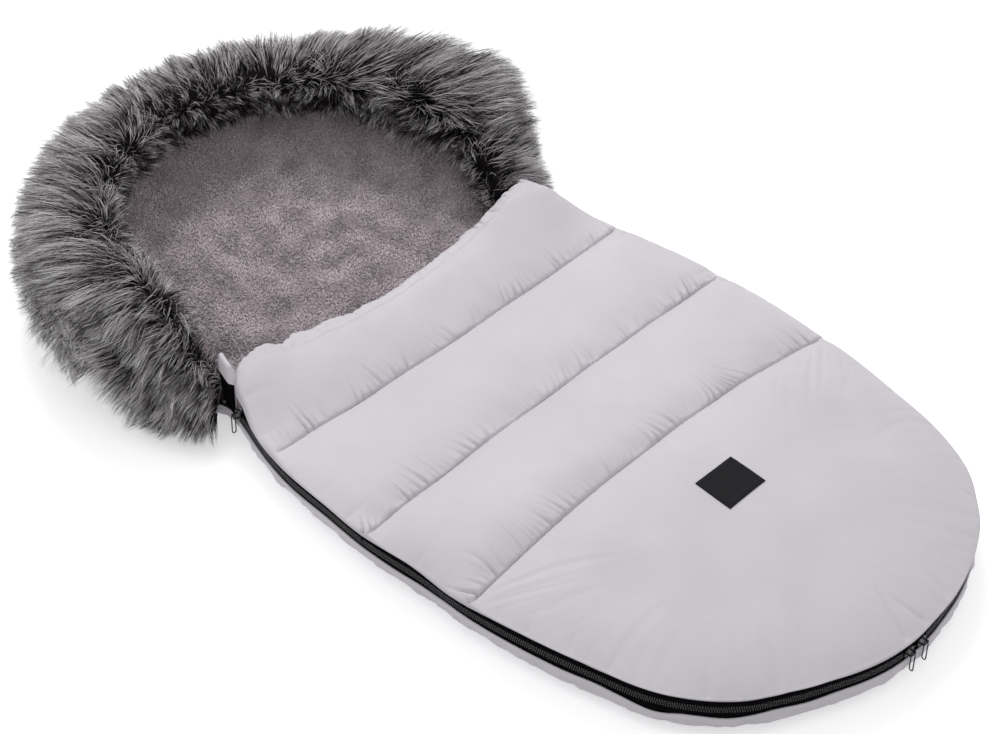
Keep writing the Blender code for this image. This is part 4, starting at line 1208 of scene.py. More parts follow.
@dataclass
class QuiltedCover:
    """The zip-on cover: four padded panels in one continuous cloth over a plush lining.

    The cloth is a grid whose rows run from zip to zip. It is swelled and puckered, made finer, and then
    cut halfway along each channel into pieces.
    """

    wardrobe: Wardrobe
    columns: int = 240
    toe_rows: int = 84
    band_rows: tuple[int, int, int] = (36, 36, 28)
    cut_rows: tuple[int, int, int] = (46, 94, 138)
    cloth_frames: int = 20
    extra_cloth: float = 0.05
    toe_reach: float = 0.200
    edge_inset: float = 0.0006
    swell_cap: float = 0.006
    bend_reach: float = 0.012
    stitch: float = 0.0027
    stitch_pitch: float = 0.0036
    bulge: float = 0.0025
    crowding: float = 0.6
    edge_slack: float = 0.18
    edge_gathers: Gathers = Gathers(0.024, 0.0017, 0.013, 61)
    hem_gathers: Gathers = Gathers(0.0105, 0.0030, 0.010, 81)
    toe_creases: tuple[ToeCrease, ...] = (ToeCrease(-0.012, 0.060, 0.0022, 0.35),
                                          ToeCrease(0.016, 0.045, 0.0018, -0.2),
                                          ToeCrease(0.052, 0.050, 0.0016, 0.5))

    def build(self) -> list[bpy.types.Object]:
        """Make the cover.

        Returns:
            Its pieces, from the toe to the hem.
        """
        blocks = self._blocks()
        blocks = self._swell(blocks)
        fine = [self._pucker(k, self._finer(block)) for k, block in enumerate(blocks)]
        return [*self._pieces(fine), *self._stitches()]

    def _plan_blocks(self) -> list[Array]:
        """Plan points of each panel, shaped (rows, columns, 2)."""
        u = np.linspace(-1.0, 1.0, self.columns + 1)
        seam = PLAN.seam_y[0]
        edge = -self.edge_inset
        v = np.linspace(0.0, 1.0, self.toe_rows + 1)[:, None]
        v = mix(v, np.sin(v * math.pi / 2), self.crowding)
        sign = np.sign(u)[:, None] + (u == 0)[:, None]
        toe = PLAN.zip_point(np.abs(u) * self.toe_reach, np.full(u.shape, edge))[0]
        toe = toe * np.hstack([sign, sign ** 2])
        across = u * PLAN.side_x(seam, edge)
        line = PLAN.seam_line(0, across)
        top = np.stack([u * PLAN.side_x(line, edge), line], axis=-1)
        sides = []
        for column in (0, -1):
            s = mix(self.toe_reach, PLAN.zip_s_at(float(line[column]), edge), v[:, 0])
            sides.append(PLAN.zip_point(s, np.full(s.shape, edge))[0][:, None])
        left, right = sides[0] * np.array([-1.0, 1.0]), sides[1]
        a = ((u + 1) / 2)[None, :, None]
        vv = v[:, :, None]
        coons = (1 - vv) * toe[None] + vv * top[None] + (1 - a) * left + a * right
        coons -= (1 - vv) * ((1 - a) * toe[0] + a * toe[-1]) + vv * ((1 - a) * top[0] + a * top[-1])
        blocks = [coons]
        for panel, rows in zip((1, 2, 3), self.band_rows):
            low = PLAN.seam_line(panel - 1, u * PLAN.side_x(PLAN.seam_y[panel - 1], edge))[None]
            share = np.linspace(0.0, 1.0, rows + 1)[:, None]
            share = mix(share, 0.5 - 0.5 * np.cos(share * math.pi), self.crowding)
            if panel < 3:
                high = PLAN.seam_line(panel, u * PLAN.side_x(PLAN.seam_y[panel], edge))[None]
                y = mix(low, high, share)
                x = u[None] * PLAN.side_x(y, edge)
            else:
                level = mix(low, PLAN.hem_corner_y, share)
                x = u[None] * PLAN.corner_x(level, edge)
                y = mix(low, PLAN.hem_y(x) + self._ruffle(x), share)
            blocks.append(np.stack([x, y], axis=-1))
        return blocks

    @staticmethod
    def _ruffle(x: Array) -> Array:
        """Small scallops of the gathered hem, which sits a little higher on the left."""
        scallops = 0.0016 * Ripple(0.030, 85, 4)(x, 0 * x) + 0.0007 * Ripple(0.013, 86, 4)(x, 0 * x)
        return scallops * (0.8 + 0.5 * smoothstep(-x, 0.02, 0.14)) + 0.007 * bump_between(-x, 0.02, 0.24)

    def _blocks(self) -> list[Array]:
        """Points of each panel's outer face before it is swelled."""
        blocks = []
        for panel, plan in enumerate(self._plan_blocks()):
            height = COVER.top(panel, plan[..., 0], plan[..., 1])
            blocks.append(np.concatenate([plan, height[..., None]], axis=-1))
        return blocks

    def _swell(self, blocks: list[Array]) -> list[Array]:
        """Let the cloth of all the panels swell between its seams, with a cap on how far a point moves.

        Args:
            blocks: points of each panel.

        Returns:
            The moved points of each panel.
        """
        rows = [blocks[0]] + [block[1:] for block in blocks[1:]]
        sheet = np.concatenate(rows)
        count, columns, _ = sheet.shape
        points = sheet.reshape(-1, 3)
        x, y = points[:, 0], points[:, 1]
        held = np.zeros((count, columns))
        held[0] = held[-1] = 1.0
        held[:, 0] = held[:, -1] = 1.0
        level = 0
        for block in blocks[:-1]:
            level += len(block) - 1
            held[level] = 1.0
        slack = np.zeros(len(points))
        for number in range(3):
            above = y - PLAN.seam_line(number, x)
            slack = np.maximum(slack, (above >= 0) * (1.0 - smoothstep(above, 0.012, 0.045)))
        easing = self.edge_slack * (1 - 0.75 * smoothstep(-y, 0.12, 0.24))
        slack = np.clip(slack + easing * (1 - smoothstep(PLAN.edge_distance(x, y), 0.0, 0.03)), 0.0, 1.0)
        loose = self._settle(sheet, held, slack.reshape(count, columns))
        moved = loose - sheet
        length = np.linalg.norm(moved, axis=-1, keepdims=True)
        moved *= np.minimum(1.0, self.swell_cap / np.maximum(length, 1e-9))
        moved *= 1 - 0.60 * smoothstep(-sheet[..., 1:2], 0.14, 0.27)
        sheet = sheet + moved
        result = []
        level = 0
        for block in blocks:
            result.append(sheet[level:level + len(block)].copy())
            level += len(block) - 1
        return result

    def _settle(self, sheet: Array, held: Array, slack: Array) -> Array:
        """Run the cloth solver on a sheet.

        Args:
            sheet: points, shaped (rows, columns, 3).
            held: how firmly each point is held, from 0 to 1.
            slack: how much longer the cloth is cut at each point, from 0 to 1.

        Returns:
            The points where the cloth comes to rest.
        """
        rows, columns, _ = sheet.shape
        cloth_piece = mesh_object("cover_cloth_run", sheet.reshape(-1, 3), [grid_faces(rows, columns)],
                                  [self.wardrobe.cover])
        for name, weights in (("held", held), ("slack", slack)):
            group = cloth_piece.vertex_groups.new(name=name)
            for index, weight in enumerate(weights.ravel()):
                if weight > 0.001:
                    group.add([index], float(weight), "REPLACE")
        cloth = cloth_piece.modifiers.new("settle", "CLOTH")
        settings = cloth.settings
        settings.quality = 5
        settings.mass = 0.2
        settings.tension_stiffness = 12.0
        settings.compression_stiffness = 12.0
        settings.shear_stiffness = 4.0
        settings.bending_stiffness = 0.4
        settings.vertex_group_mass = "held"
        settings.use_pressure = True
        settings.uniform_pressure_force = 4.0
        settings.vertex_group_shrink = "slack"
        settings.shrink_min = 0.0
        settings.shrink_max = -self.extra_cloth
        settings.effector_weights.gravity = 0.0
        cloth.collision_settings.use_collision = False
        scene = bpy.context.scene
        for number in range(self.cloth_frames):
            scene.frame_set(number + 1)
        seen = cloth_piece.evaluated_get(bpy.context.evaluated_depsgraph_get())
        result = np.empty(rows * columns * 3, np.float32)
        seen.data.vertices.foreach_get("co", result)
        scene.frame_set(1)
        bpy.data.objects.remove(cloth_piece)
        return result.reshape(rows, columns, 3).astype(float)

    def _pucker(self, panel: int, block: Array) -> Array:
        """Gather the cloth beside each seam, along the zips and at the hem.

        Args:
            panel: number of the panel.
            block: its points.

        Returns:
            The gathered points.
        """
        x, y = block[..., 0], block[..., 1]
        lift = np.zeros(x.shape)
        edge = PLAN.edge_distance(x, y)
        free = smoothstep(edge, 0.0, 0.008)
        for number in range(3):
            above = y - PLAN.seam_line(number, x)
            ends = 1.0 + 0.5 * smoothstep(np.abs(x), 0.10, 0.21)
            if panel == number + 1:
                cluster = 0.45 + 1.25 * smoothstep(Ripple(0.075, 31 + number, 5)(x, 0 * x), -0.35, 0.6)
                leaning = x + 0.45 * above * Ripple(0.10, 33 + number)(x, 0 * x)
                lift += ends * cluster * Gathers(0.0080, 0.0036, 0.0120, 41 + number)(leaning, above)
                fade = np.clip(above / 0.004, 0, 1) * np.exp(-np.maximum(above, 0) / 0.020)
                lift += 0.0012 * fade * Ripple(0.030, 46 + number)(x, 0.4 * y)
            elif panel == number:
                lift += Gathers(0.011, 0.0009, 0.006, 51 + number)(x, -above)
            lift -= free * 0.0030 * np.exp(-np.abs(above) / 0.0009)
        along = PLAN.zip_s(x, y)
        lift += (1 - 0.45 * smoothstep(-y, 0.12, 0.24)) * self.edge_gathers(along, edge)
        lift += 0.0009 * smoothstep(edge, 0.0, 0.04) * Ripple(0.11, 71)(x, y)
        for crease in self.toe_creases:
            lift -= crease(along, edge)
        if panel == 3:
            below = PLAN.hem_y(x) - y
            corner = 0.55 + 0.6 * smoothstep(np.abs(x), 0.08, 0.15)
            lift += corner * self.hem_gathers(x, below + 0.0008)
            lift += 0.0013 * np.exp(-np.maximum(below, 0) / 0.016) * Ripple(0.034, 83)(x, 0.3 * y)
            lift -= 0.0010 * np.exp(-((below - 0.0105) / 0.0011) ** 2)
        moved = block.copy()
        moved[..., 2] += lift
        return moved

    def _stitches(self) -> list[bpy.types.Object]:
        """Sewing thread in each quilting seam; its darker colour is partly painted shade of the crease.

        Returns:
            One piece for each seam.
        """
        pieces = []
        for number in range(3):
            reach = PLAN.side_x(PLAN.seam_y[number]) - 0.006
            x = np.arange(-reach, reach, self.stitch_pitch)
            ends = np.stack([x, x + self.stitch], axis=1)
            y = PLAN.seam_line(number, ends)
            z = COVER.base(ends, y) - 0.0020
            middle = np.stack([ends, y, z], axis=-1)
            corners = []
            for dy, dz in ((-0.00035, 0.0), (0.0, -0.0003), (0.00035, 0.0), (0.0, 0.0004)):
                corners.append(middle + np.array([0.0, dy, dz]))
            points = np.stack(corners, axis=2).reshape(-1, 3)
            faces = bar_faces(len(x), 4)
            thread = mesh_object(f"seam_thread_{number + 1}", points, faces, [self.wardrobe.thread])
            pieces.append(self._bend(thread, number))
        return pieces

    def _bend(self, piece: bpy.types.Object, number: int) -> bpy.types.Object:
        """Bake a piece's transform into its mesh and log the seam that it spans."""
        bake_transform(piece)
        log.info("%s bends at seam %d", piece.name, number + 1)
        return piece

    @staticmethod
    def _finer(block: Array) -> Array:
        """Halve the spacing of a grid with a smooth four-point rule."""
        for axis in (0, 1):
            points = np.moveaxis(block, axis, 0)
            ahead = 2 * points[-1:] - points[-2:-1]
            behind = 2 * points[:1] - points[1:2]
            padded = np.concatenate([behind, points, ahead])
            middle = (9 * (padded[1:-2] + padded[2:-1]) - padded[:-3] - padded[3:]) / 16
            result = np.empty((2 * len(points) - 1, *points.shape[1:]))
            result[0::2] = points
            result[1::2] = middle
            block = np.moveaxis(result, 0, axis)
        return block

    @staticmethod
    def _rim_loops(outer: Array) -> Array:
        """Rounded edge, with a small bead of piping, between the cloth's border and the lining's border.

        Args:
            outer: border points of the cloth, shaped (points, 3).

        Returns:
            Points of the loops between them, shaped (loops, points, 3).
        """
        x, y = outer[:, 0], outer[:, 1]
        outward = np.stack([np.gradient(y), -np.gradient(x), 0 * x], axis=-1)
        outward /= np.linalg.norm(outward, axis=-1, keepdims=True) + 1e-12
        at_hem = smoothstep(y - PLAN.corner_start_y, 0.0, 0.03)[:, None]
        low = mix(ZIP.cover_edge(x, y)[:, None], outer[:, 2:] - 0.0065, at_hem)
        way = PLAN.outward(x, y)
        over = np.maximum(PLAN.beyond(x, y), 0.0)[:, None] * (1 - at_hem)
        loops = []
        steps = ((0.0013, 0.10, 0.0), (0.0024, 0.32, 0.10), (0.0022, 0.55, 0.40), (0.0010, 0.76, 0.80),
                 (0.0022, 0.83, 0.94), (0.0028, 0.91, 1.0), (0.0020, 0.99, 1.0), (-0.0015, 1.0, 1.0))
        for out, share, back in steps:
            place = outer + outward * out
            place[:, :2] -= way * over * back
            place[:, 2:] = mix(outer[:, 2:], low, share)
            loops.append(place)
        return np.stack(loops)

    @staticmethod
    def _lining(outer: Array) -> Array:
        """Points of the plush under each point of the cloth, drawn in by about 4 mm at the edge."""
        x, y = outer[..., 0], outer[..., 1]
        middle = -0.15
        narrower, shorter = 1 - 0.004 / 0.24, 1 - 0.004 / 0.33
        inner = np.stack([x * narrower, (y - middle) * shorter + middle, outer[..., 2]], axis=-1)
        under = COVER.base(inner[..., 0], inner[..., 1]) - COVER.skin - COVER.lining
        inner[..., 2] = np.minimum(under, outer[..., 2] - 0.0035)
        return inner

    def _pieces(self, blocks: list[Array]) -> list[bpy.types.Object]:
        """Cut the finished cloth halfway along its channels and dress each piece.

        Args:
            blocks: fine grids of the panels.

        Returns:
            The pieces, from the toe to the hem.
        """
        sheet = np.concatenate([blocks[0]] + [block[1:] for block in blocks[1:]])
        cuts = [0, *(2 * row for row in self.cut_rows), len(sheet) - 1]
        lining = self._lining(sheet)
        sheet = self._overhang(sheet)
        normals = self._sheet_normals(sheet)
        pieces = []
        for panel, low, high in zip(Panel, cuts, cuts[1:]):
            rows = slice(low, high + 1)
            piece = self._shell_piece(panel, sheet[rows], lining[rows], normals[rows])
            if panel is Panel.TOE:
                fix_to(piece, panel.body, "shell_fabric")
            else:
                self._bend(piece, panel.value - 1)
            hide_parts(*(f"{panel.body}_{part}" for part in ("quilt", "wadding", "lining")))
            pieces.append(piece)
        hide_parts("hem_elastic")
        return pieces

    def _overhang(self, sheet: Array) -> Array:
        """Let the filling push the cloth out over the zips."""
        x, y = sheet[..., 0], sheet[..., 1]
        outward = PLAN.outward(x, y)
        amount = self.bulge * (1 - smoothstep(y, 0.07, 0.11)) * (1 + 0.3 * Ripple(0.07, 95)(x, y))
        for number in range(3):
            amount = amount * (1 - 0.75 * np.exp(-((y - PLAN.seam_line(number, x)) / 0.012) ** 2))
        fade = np.exp(-(PLAN.edge_distance(x, y) / 0.030))
        moved = sheet.copy()
        moved[..., :2] += outward * (amount * fade)[..., None]
        return moved

    @staticmethod
    def _sheet_normals(sheet: Array) -> Array:
        """Smooth normals of the whole cloth, so that the cuts don't show."""
        along = np.gradient(sheet, axis=0)
        across = np.gradient(sheet, axis=1)
        normal = np.cross(across, along)
        normal /= np.linalg.norm(normal, axis=-1, keepdims=True) + 1e-12
        return normal * np.sign(normal[..., 2:] + 1e-9)

    def _shell_piece(self, panel: Panel, outer: Array, inner: Array, normals: Array) -> bpy.types.Object:
        """One closed piece of the cover.

        Args:
            panel: panel whose channel the piece reaches into last.
            outer: points of the cloth.
            inner: points of the lining.
            normals: normals of the cloth.

        Returns:
            The piece.
        """
        rows, columns, _ = outer.shape
        index = np.arange(rows * columns).reshape(rows, columns)
        left, right = index[::-1, 0], index[:, -1]
        chains, cuts = [left, right], [0, -1]
        if panel is Panel.TOE:
            chains, cuts = [np.concatenate([left, index[0, 1:], right[1:]])], [-1]
        elif panel is Panel.TOP:
            chains, cuts = [np.concatenate([right, index[-1, -2::-1], left[1:]])], [0]
        points = [outer.reshape(-1, 3), inner.reshape(-1, 3)]
        total = 2 * rows * columns
        quads = [grid_faces(rows, columns), grid_faces(rows, columns, start=rows * columns)[:, ::-1]]
        slots = [np.zeros(len(quads[0])), np.ones(len(quads[1]))]
        for chain in chains:
            loops = self._rim_loops(points[0][chain])
            ring = np.arange(loops.shape[0] * loops.shape[1]).reshape(loops.shape[:2]) + total
            total += ring.size
            points.append(loops.reshape(-1, 3))
            strip = np.concatenate([chain[None], ring, chain[None] + rows * columns])
            faces = np.stack([strip[:-1, :-1], strip[1:, :-1], strip[1:, 1:], strip[:-1, 1:]], axis=-1)
            quads.append(faces.reshape(-1, 4))
            slots.append(np.zeros(len(quads[-1])))
        for row in cuts:
            line = index[row]
            below = line + rows * columns
            wall = np.stack([line[:-1], line[1:], below[1:], below[:-1]], axis=-1)
            quads.append(wall if row else wall[:, ::-1])
            slots.append(np.ones(len(wall)))
        piece = mesh_object(f"cover_cloth_{panel.value + 1}", PLAN.warped(np.concatenate(points)), quads,
                            [self.wardrobe.cover, self.wardrobe.plush], np.concatenate(slots))
        self._hide_cuts(piece, index, normals, cuts)
        return piece

    @staticmethod
    def _hide_cuts(piece: bpy.types.Object, index: Array, normals: Array, cuts: Sequence[int]) -> None:
        """Shade the rows beside a cut as if the cloth ran on.

        Args:
            piece: a piece of the cover.
            index: vertex numbers of its cloth.
            normals: smooth normals of the cloth.
            cuts: rows that are cuts.
        """
        mesh = piece.data
        shading = np.empty(len(mesh.vertices) * 3, np.float32)
        mesh.vertex_normals.foreach_get("vector", shading)
        shading = shading.reshape(-1, 3)
        for row in cuts:
            shading[index[row]] = normals[row]
            beside = 1 if row == 0 else -2
            for column in (0, -1):
                shading[index[row, column]] = shading[index[beside, column]]
        mesh.normals_split_custom_set_from_vertices(shading)


# Back and plush


@dataclass
class PaddedBack:
    """Outer shell of the back and the hood: a padded tray whose edge climbs round the head end."""

    wardrobe: Wardrobe
    step: float = 0.006
    levels: int = 22

    def build(self) -> list[bpy.types.Object]:
        """Make the shell, with its harness slots cut open.

        Returns:
            The pieces.
        """
        points, normals, share = PLAN.outline(self.step)
        run = np.concatenate([[0.0], np.cumsum(np.hypot(*np.diff(points, axis=0).T))])
        rings = []
        edge_shift = ZIP.back_edge(*points.T) - BACK.back_rim
        slim = smoothstep(-PLAN.zip_s(*points.T), 0.34, 0.42)
        for turn in np.linspace(0.0, 2.0, self.levels):
            offset, height = BACK.outside(share, turn)
            slack = bump_between(turn, 0.1, 2.1)
            offset = offset + slack * 0.0013 * Ripple(0.045, 101)(run, 0 * run + 0.02 * turn)
            offset = offset + slack * (1 - share) * 0.0009 * Ripple(0.013, 104)(run, 0 * run + 0.01 * turn)
            offset = offset + slack * share * 0.0022 * Ripple(0.018, 102)(run, 0 * run)
            offset = offset - slack * slim * 0.0042 * (1 - smoothstep(turn, 1.0, 1.5))
            height = height + smoothstep(turn, 1.0, 2.0) * (1 - share) * edge_shift
            rings.append(np.column_stack([points + offset[:, None] * normals, height]))
        edge = BACK.rim(share) + (1 - share) * edge_shift
        for inset, drop in ((0.0026, -0.0006), (0.0016, -0.0005), (0.0009, 0.0006), (0.0009, 0.007)):
            rings.append(np.column_stack([points + inset * normals, edge - drop]))
        rings = PLAN.warped(np.stack(rings))
        count, size, _ = rings.shape
        quads = grid_faces(count, size, wrap=True)
        floor = np.arange(size)[::-1][None]
        shell = mesh_object("back_cloth_shell", rings.reshape(-1, 3), [quads, floor], [self.wardrobe.back])
        slot_holes(shell, -0.01, 0.012)
        fix_to(shell, "back", "shell_fabric", "back_shell", "back_wadding")
        return [shell]


@dataclass(frozen=True)
class HarnessSlot:
    """A slot that a harness strap passes through, as wide as its CAD binding leaves it.

    Args:
        binding: CAD node of its binding.
    """

    binding: str
    width: float = 0.012
    bound_edge: float = 0.0045
    cut_margin: float = 0.0015

    @property
    def frame(self) -> tuple[Array, float, bool]:
        """Centre, length of the opening and whether it runs along the footmuff."""
        low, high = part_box(self.binding)
        size = high - low
        middle = (low + high) / 2
        length = max(size.x, size.y) - 2 * self.bound_edge
        return np.array([middle.x, middle.y]), length, size.y > size.x

    def outline(self, grow: float, steps: int = 10) -> Array:
        """Outline with round ends, grown by a margin on every side."""
        middle, length, lengthwise = self.frame
        angle = np.linspace(-math.pi / 2, math.pi / 2, steps + 1)
        radius = self.width / 2 + grow
        reach = (length - self.width) / 2
        right = np.stack([reach + radius * np.cos(angle), radius * np.sin(angle)], axis=-1)
        loop = np.concatenate([right, -right])
        return middle + (np.stack([-loop[:, 1], loop[:, 0]], axis=-1) if lengthwise else loop)

    def opening(self) -> Array:
        """Outline of the hole that is cut in the cloth."""
        return self.outline(self.cut_margin)

    def distance(self, x: Array, y: Array) -> Array:
        """Distance from the slot's centre line."""
        middle, length, lengthwise = self.frame
        across, along = (x - middle[0], y - middle[1]) if lengthwise else (y - middle[1], x - middle[0])
        return np.hypot(across, np.maximum(np.abs(along) - (length - self.width) / 2, 0.0))


SLOTS = tuple(HarnessSlot(f"{place}_binding{side}") for place, side in
              (("shoulder_slot", "_left"), ("shoulder_slot", "_right"), ("crotch_slot", "")))


def slot_distance(x: Array, y: Array) -> Array:
    """Distance from the centre line of the nearest harness slot."""
    return np.minimum.reduce([slot.distance(x, y) for slot in SLOTS])


def slot_holes(piece: bpy.types.Object, low: float, high: float) -> None:
    """Cut the harness slots through a piece between two heights."""
    for slot in SLOTS:
        loop = slot.opening()
        sections = np.stack([np.column_stack([loop, np.full(len(loop), z)]) for z in (low, high)])
        cutter = swept_piece(f"{slot.binding}_cutter", sections, piece.data.materials[0])
        cut = piece.modifiers.new("slot", "BOOLEAN")
        cut.operation = "DIFFERENCE"
        cut.object = cutter
        seen = piece.evaluated_get(bpy.context.evaluated_depsgraph_get())
        mesh = bpy.data.meshes.new_from_object(seen)
        piece.modifiers.remove(cut)
        piece.data = mesh
        bpy.data.objects.remove(cutter)


@dataclass
class PlushBed:
    """Plush lining of the back and the hood: a soft floor, a fillet and a wall, covered in short pile."""

    wardrobe: Wardrobe
    step: float = 0.007
    levels: int = 15
    grid: float = 0.009
    lowest: float = 0.0135
    slot_gap: float = 0.0105
    pile_gap: float = 0.0125
    tufts: int = 135000
    piece_tufts: int = 45000
    tuft_height: float = 0.0034
    tuft_radius: float = 0.00085
    tuft_root: float = 0.0006

    def build(self) -> list[bpy.types.Object]:
        """Make the lining and its pile.

        Returns:
            The pieces.
        """
        bed = self._bed()
        fix_to(bed, "back", "plush", "plush_lining")
        return [bed, *self._pile(bed)]

    @staticmethod
    def _sag(x: Array, y: Array) -> Array:
        """Soft hollows of the padded floor, which lies flat round the harness slots."""
        hollows = 0.0022 * Ripple(0.12, 201, 20)(x, y) + 0.0008 * Ripple(0.045, 202, 20)(x, y)
        return hollows * smoothstep(slot_distance(x, y), 0.012, 0.034)

    def _bed(self) -> bpy.types.Object:
        """The lining's cloth: a floor with the slots left open, and rings up its fillet and wall."""
        points, normals, share = PLAN.outline(self.step)
        rings = []
        for turn in np.linspace(0.0, 2.0, self.levels):
            offset, height = BACK.plush(share, turn)
            place = points + offset[:, None] * normals
            sag = self._sag(*place.T) * (1 - smoothstep(turn, 0.4, 1.4))
            rings.append(np.column_stack([place, np.maximum(height + sag, self.lowest)]))
        floor = rings[0][:, :2]
        low = floor.min(0)
        high = floor.max(0)
        spots = np.stack(np.meshgrid(np.arange(low[0], high[0], self.grid),
                                     np.arange(low[1], high[1], self.grid)), axis=-1).reshape(-1, 2)
        inside = self._inside(spots, floor, self.grid * 0.45) & (slot_distance(*spots.T) > self.slot_gap)
        loops = [floor, *(slot.opening() for slot in SLOTS)]
        cloud = [Vector(p) for p in np.concatenate([*loops, spots[inside]])]
        edges = []
        for loop in loops:
            edges += [(len(edges) + i, len(edges) + (i + 1) % len(loop)) for i in range(len(loop))]
        found = delaunay_2d_cdt(cloud, edges, [list(range(len(floor)))], 1, 1e-6)
        flat = np.array([[p.x, p.y] for p in found[0]])
        heights = np.maximum(BACK.lining_floor + self._sag(*flat.T), self.lowest)
        heights[:len(floor)] = rings[0][:, 2]
        faces = np.array([f for f in found[2] if len(f) == 3])
        middle = flat[faces].mean(axis=1)
        open_slot = np.zeros(len(faces), bool)
        for loop in loops[1:]:
            open_slot |= self._inside(middle, loop, 0.0)
        faces = faces[~open_slot]
        rings = PLAN.warped(np.stack(rings))
        count, size, _ = rings.shape
        upper = rings[1:].reshape(-1, 3)
        base = np.column_stack([flat, heights])
        wall = grid_faces(count, size, wrap=True)[:, ::-1]
        moved = np.where(wall < size, wall, wall - size + len(base))
        return mesh_object("plush_bed", np.concatenate([base, upper]), [faces, moved], [self.wardrobe.plush])

    @staticmethod
    def _inside(spots: Array, loop: Array, margin: float) -> Array:
        """Which spots lie inside a closed outline and at least a margin away from it."""
        x, y = spots[:, 0][:, None], spots[:, 1][:, None]
        x0, y0 = loop[:, 0][None], loop[:, 1][None]
        x1, y1 = np.roll(loop[:, 0], -1)[None], np.roll(loop[:, 1], -1)[None]
        crosses = ((y0 > y) != (y1 > y)) & (x < (x1 - x0) * (y - y0) / (y1 - y0 + 1e-15) + x0)
        near = np.sqrt(((x - x0) ** 2 + (y - y0) ** 2).min(axis=1))
        return (crosses.sum(axis=1) % 2 == 1) & (near > margin)

    @staticmethod
    def _triangles(mesh: bpy.types.Mesh) -> list[Array]:
        """First, second and third corner of every triangle of a mesh."""
        mesh.calc_loop_triangles()
        corners = np.empty(len(mesh.loop_triangles) * 3, np.int32)
        mesh.loop_triangles.foreach_get("vertices", corners)
        places = np.empty(len(mesh.vertices) * 3)
        mesh.vertices.foreach_get("co", places)
        return [places.reshape(-1, 3)[column] for column in corners.reshape(-1, 3).T]

    def _pile(self, bed: bpy.types.Object) -> list[bpy.types.Object]:
        """Short tufts over the plush that shows round the hood and inside the mouth.

        Args:
            bed: the lining's cloth.

        Returns:
            The pieces of the pile.
        """
        a, b, c = self._triangles(bed.data)
        cross = np.cross(b - a, c - a)
        area = np.linalg.norm(cross, axis=-1) / 2
        middle = (a + b + c) / 3
        shown = mix(0.40, 1.0, smoothstep(middle[:, 1], -0.14, 0.06))
        shown = shown * (slot_distance(*middle[:, :2].T) > self.pile_gap)
        weight = area * shown
        rng = np.random.default_rng(7)
        chosen = rng.choice(len(weight), self.tufts, p=weight / weight.sum())
        u, v = rng.random((2, self.tufts))
        flip = u + v > 1
        u[flip], v[flip] = 1 - u[flip], 1 - v[flip]
        roots = a[chosen] + u[:, None] * (b - a)[chosen] + v[:, None] * (c - a)[chosen]
        normal = cross[chosen] / (2 * area[chosen][:, None])
        normal *= np.sign((normal * (np.array([0.0, 0.2, 0.3]) - roots)).sum(-1))[:, None]
        lean = np.stack([Ripple(0.05, 211, 30)(*roots.T[:2]), Ripple(0.05, 212, 30)(*roots.T[:2]) - 0.25,
                         0 * roots[:, 0]], axis=-1)
        lean = 0.75 * lean + 0.35 * rng.normal(size=lean.shape)
        height = self.tuft_height * rng.uniform(0.7, 1.15, self.tufts)[:, None]
        direction = normal + lean
        direction /= np.linalg.norm(direction, axis=-1, keepdims=True)
        paths = np.stack([roots - self.tuft_root * normal, roots + height * direction], axis=1)
        radii = self.tuft_radius * rng.uniform(0.8, 1.25, (self.tufts, 1))
        patches = Ripple(0.05, 213, 30)(*roots.T[:2])
        tone = np.clip(0.54 + 0.24 * patches + 0.24 * rng.normal(size=self.tufts), 0, 1)
        pile = Pile("plush_pile", self.wardrobe.tuft, "plush", self.piece_tufts, 300)
        return pile.build(paths, radii, tone)


# Fur


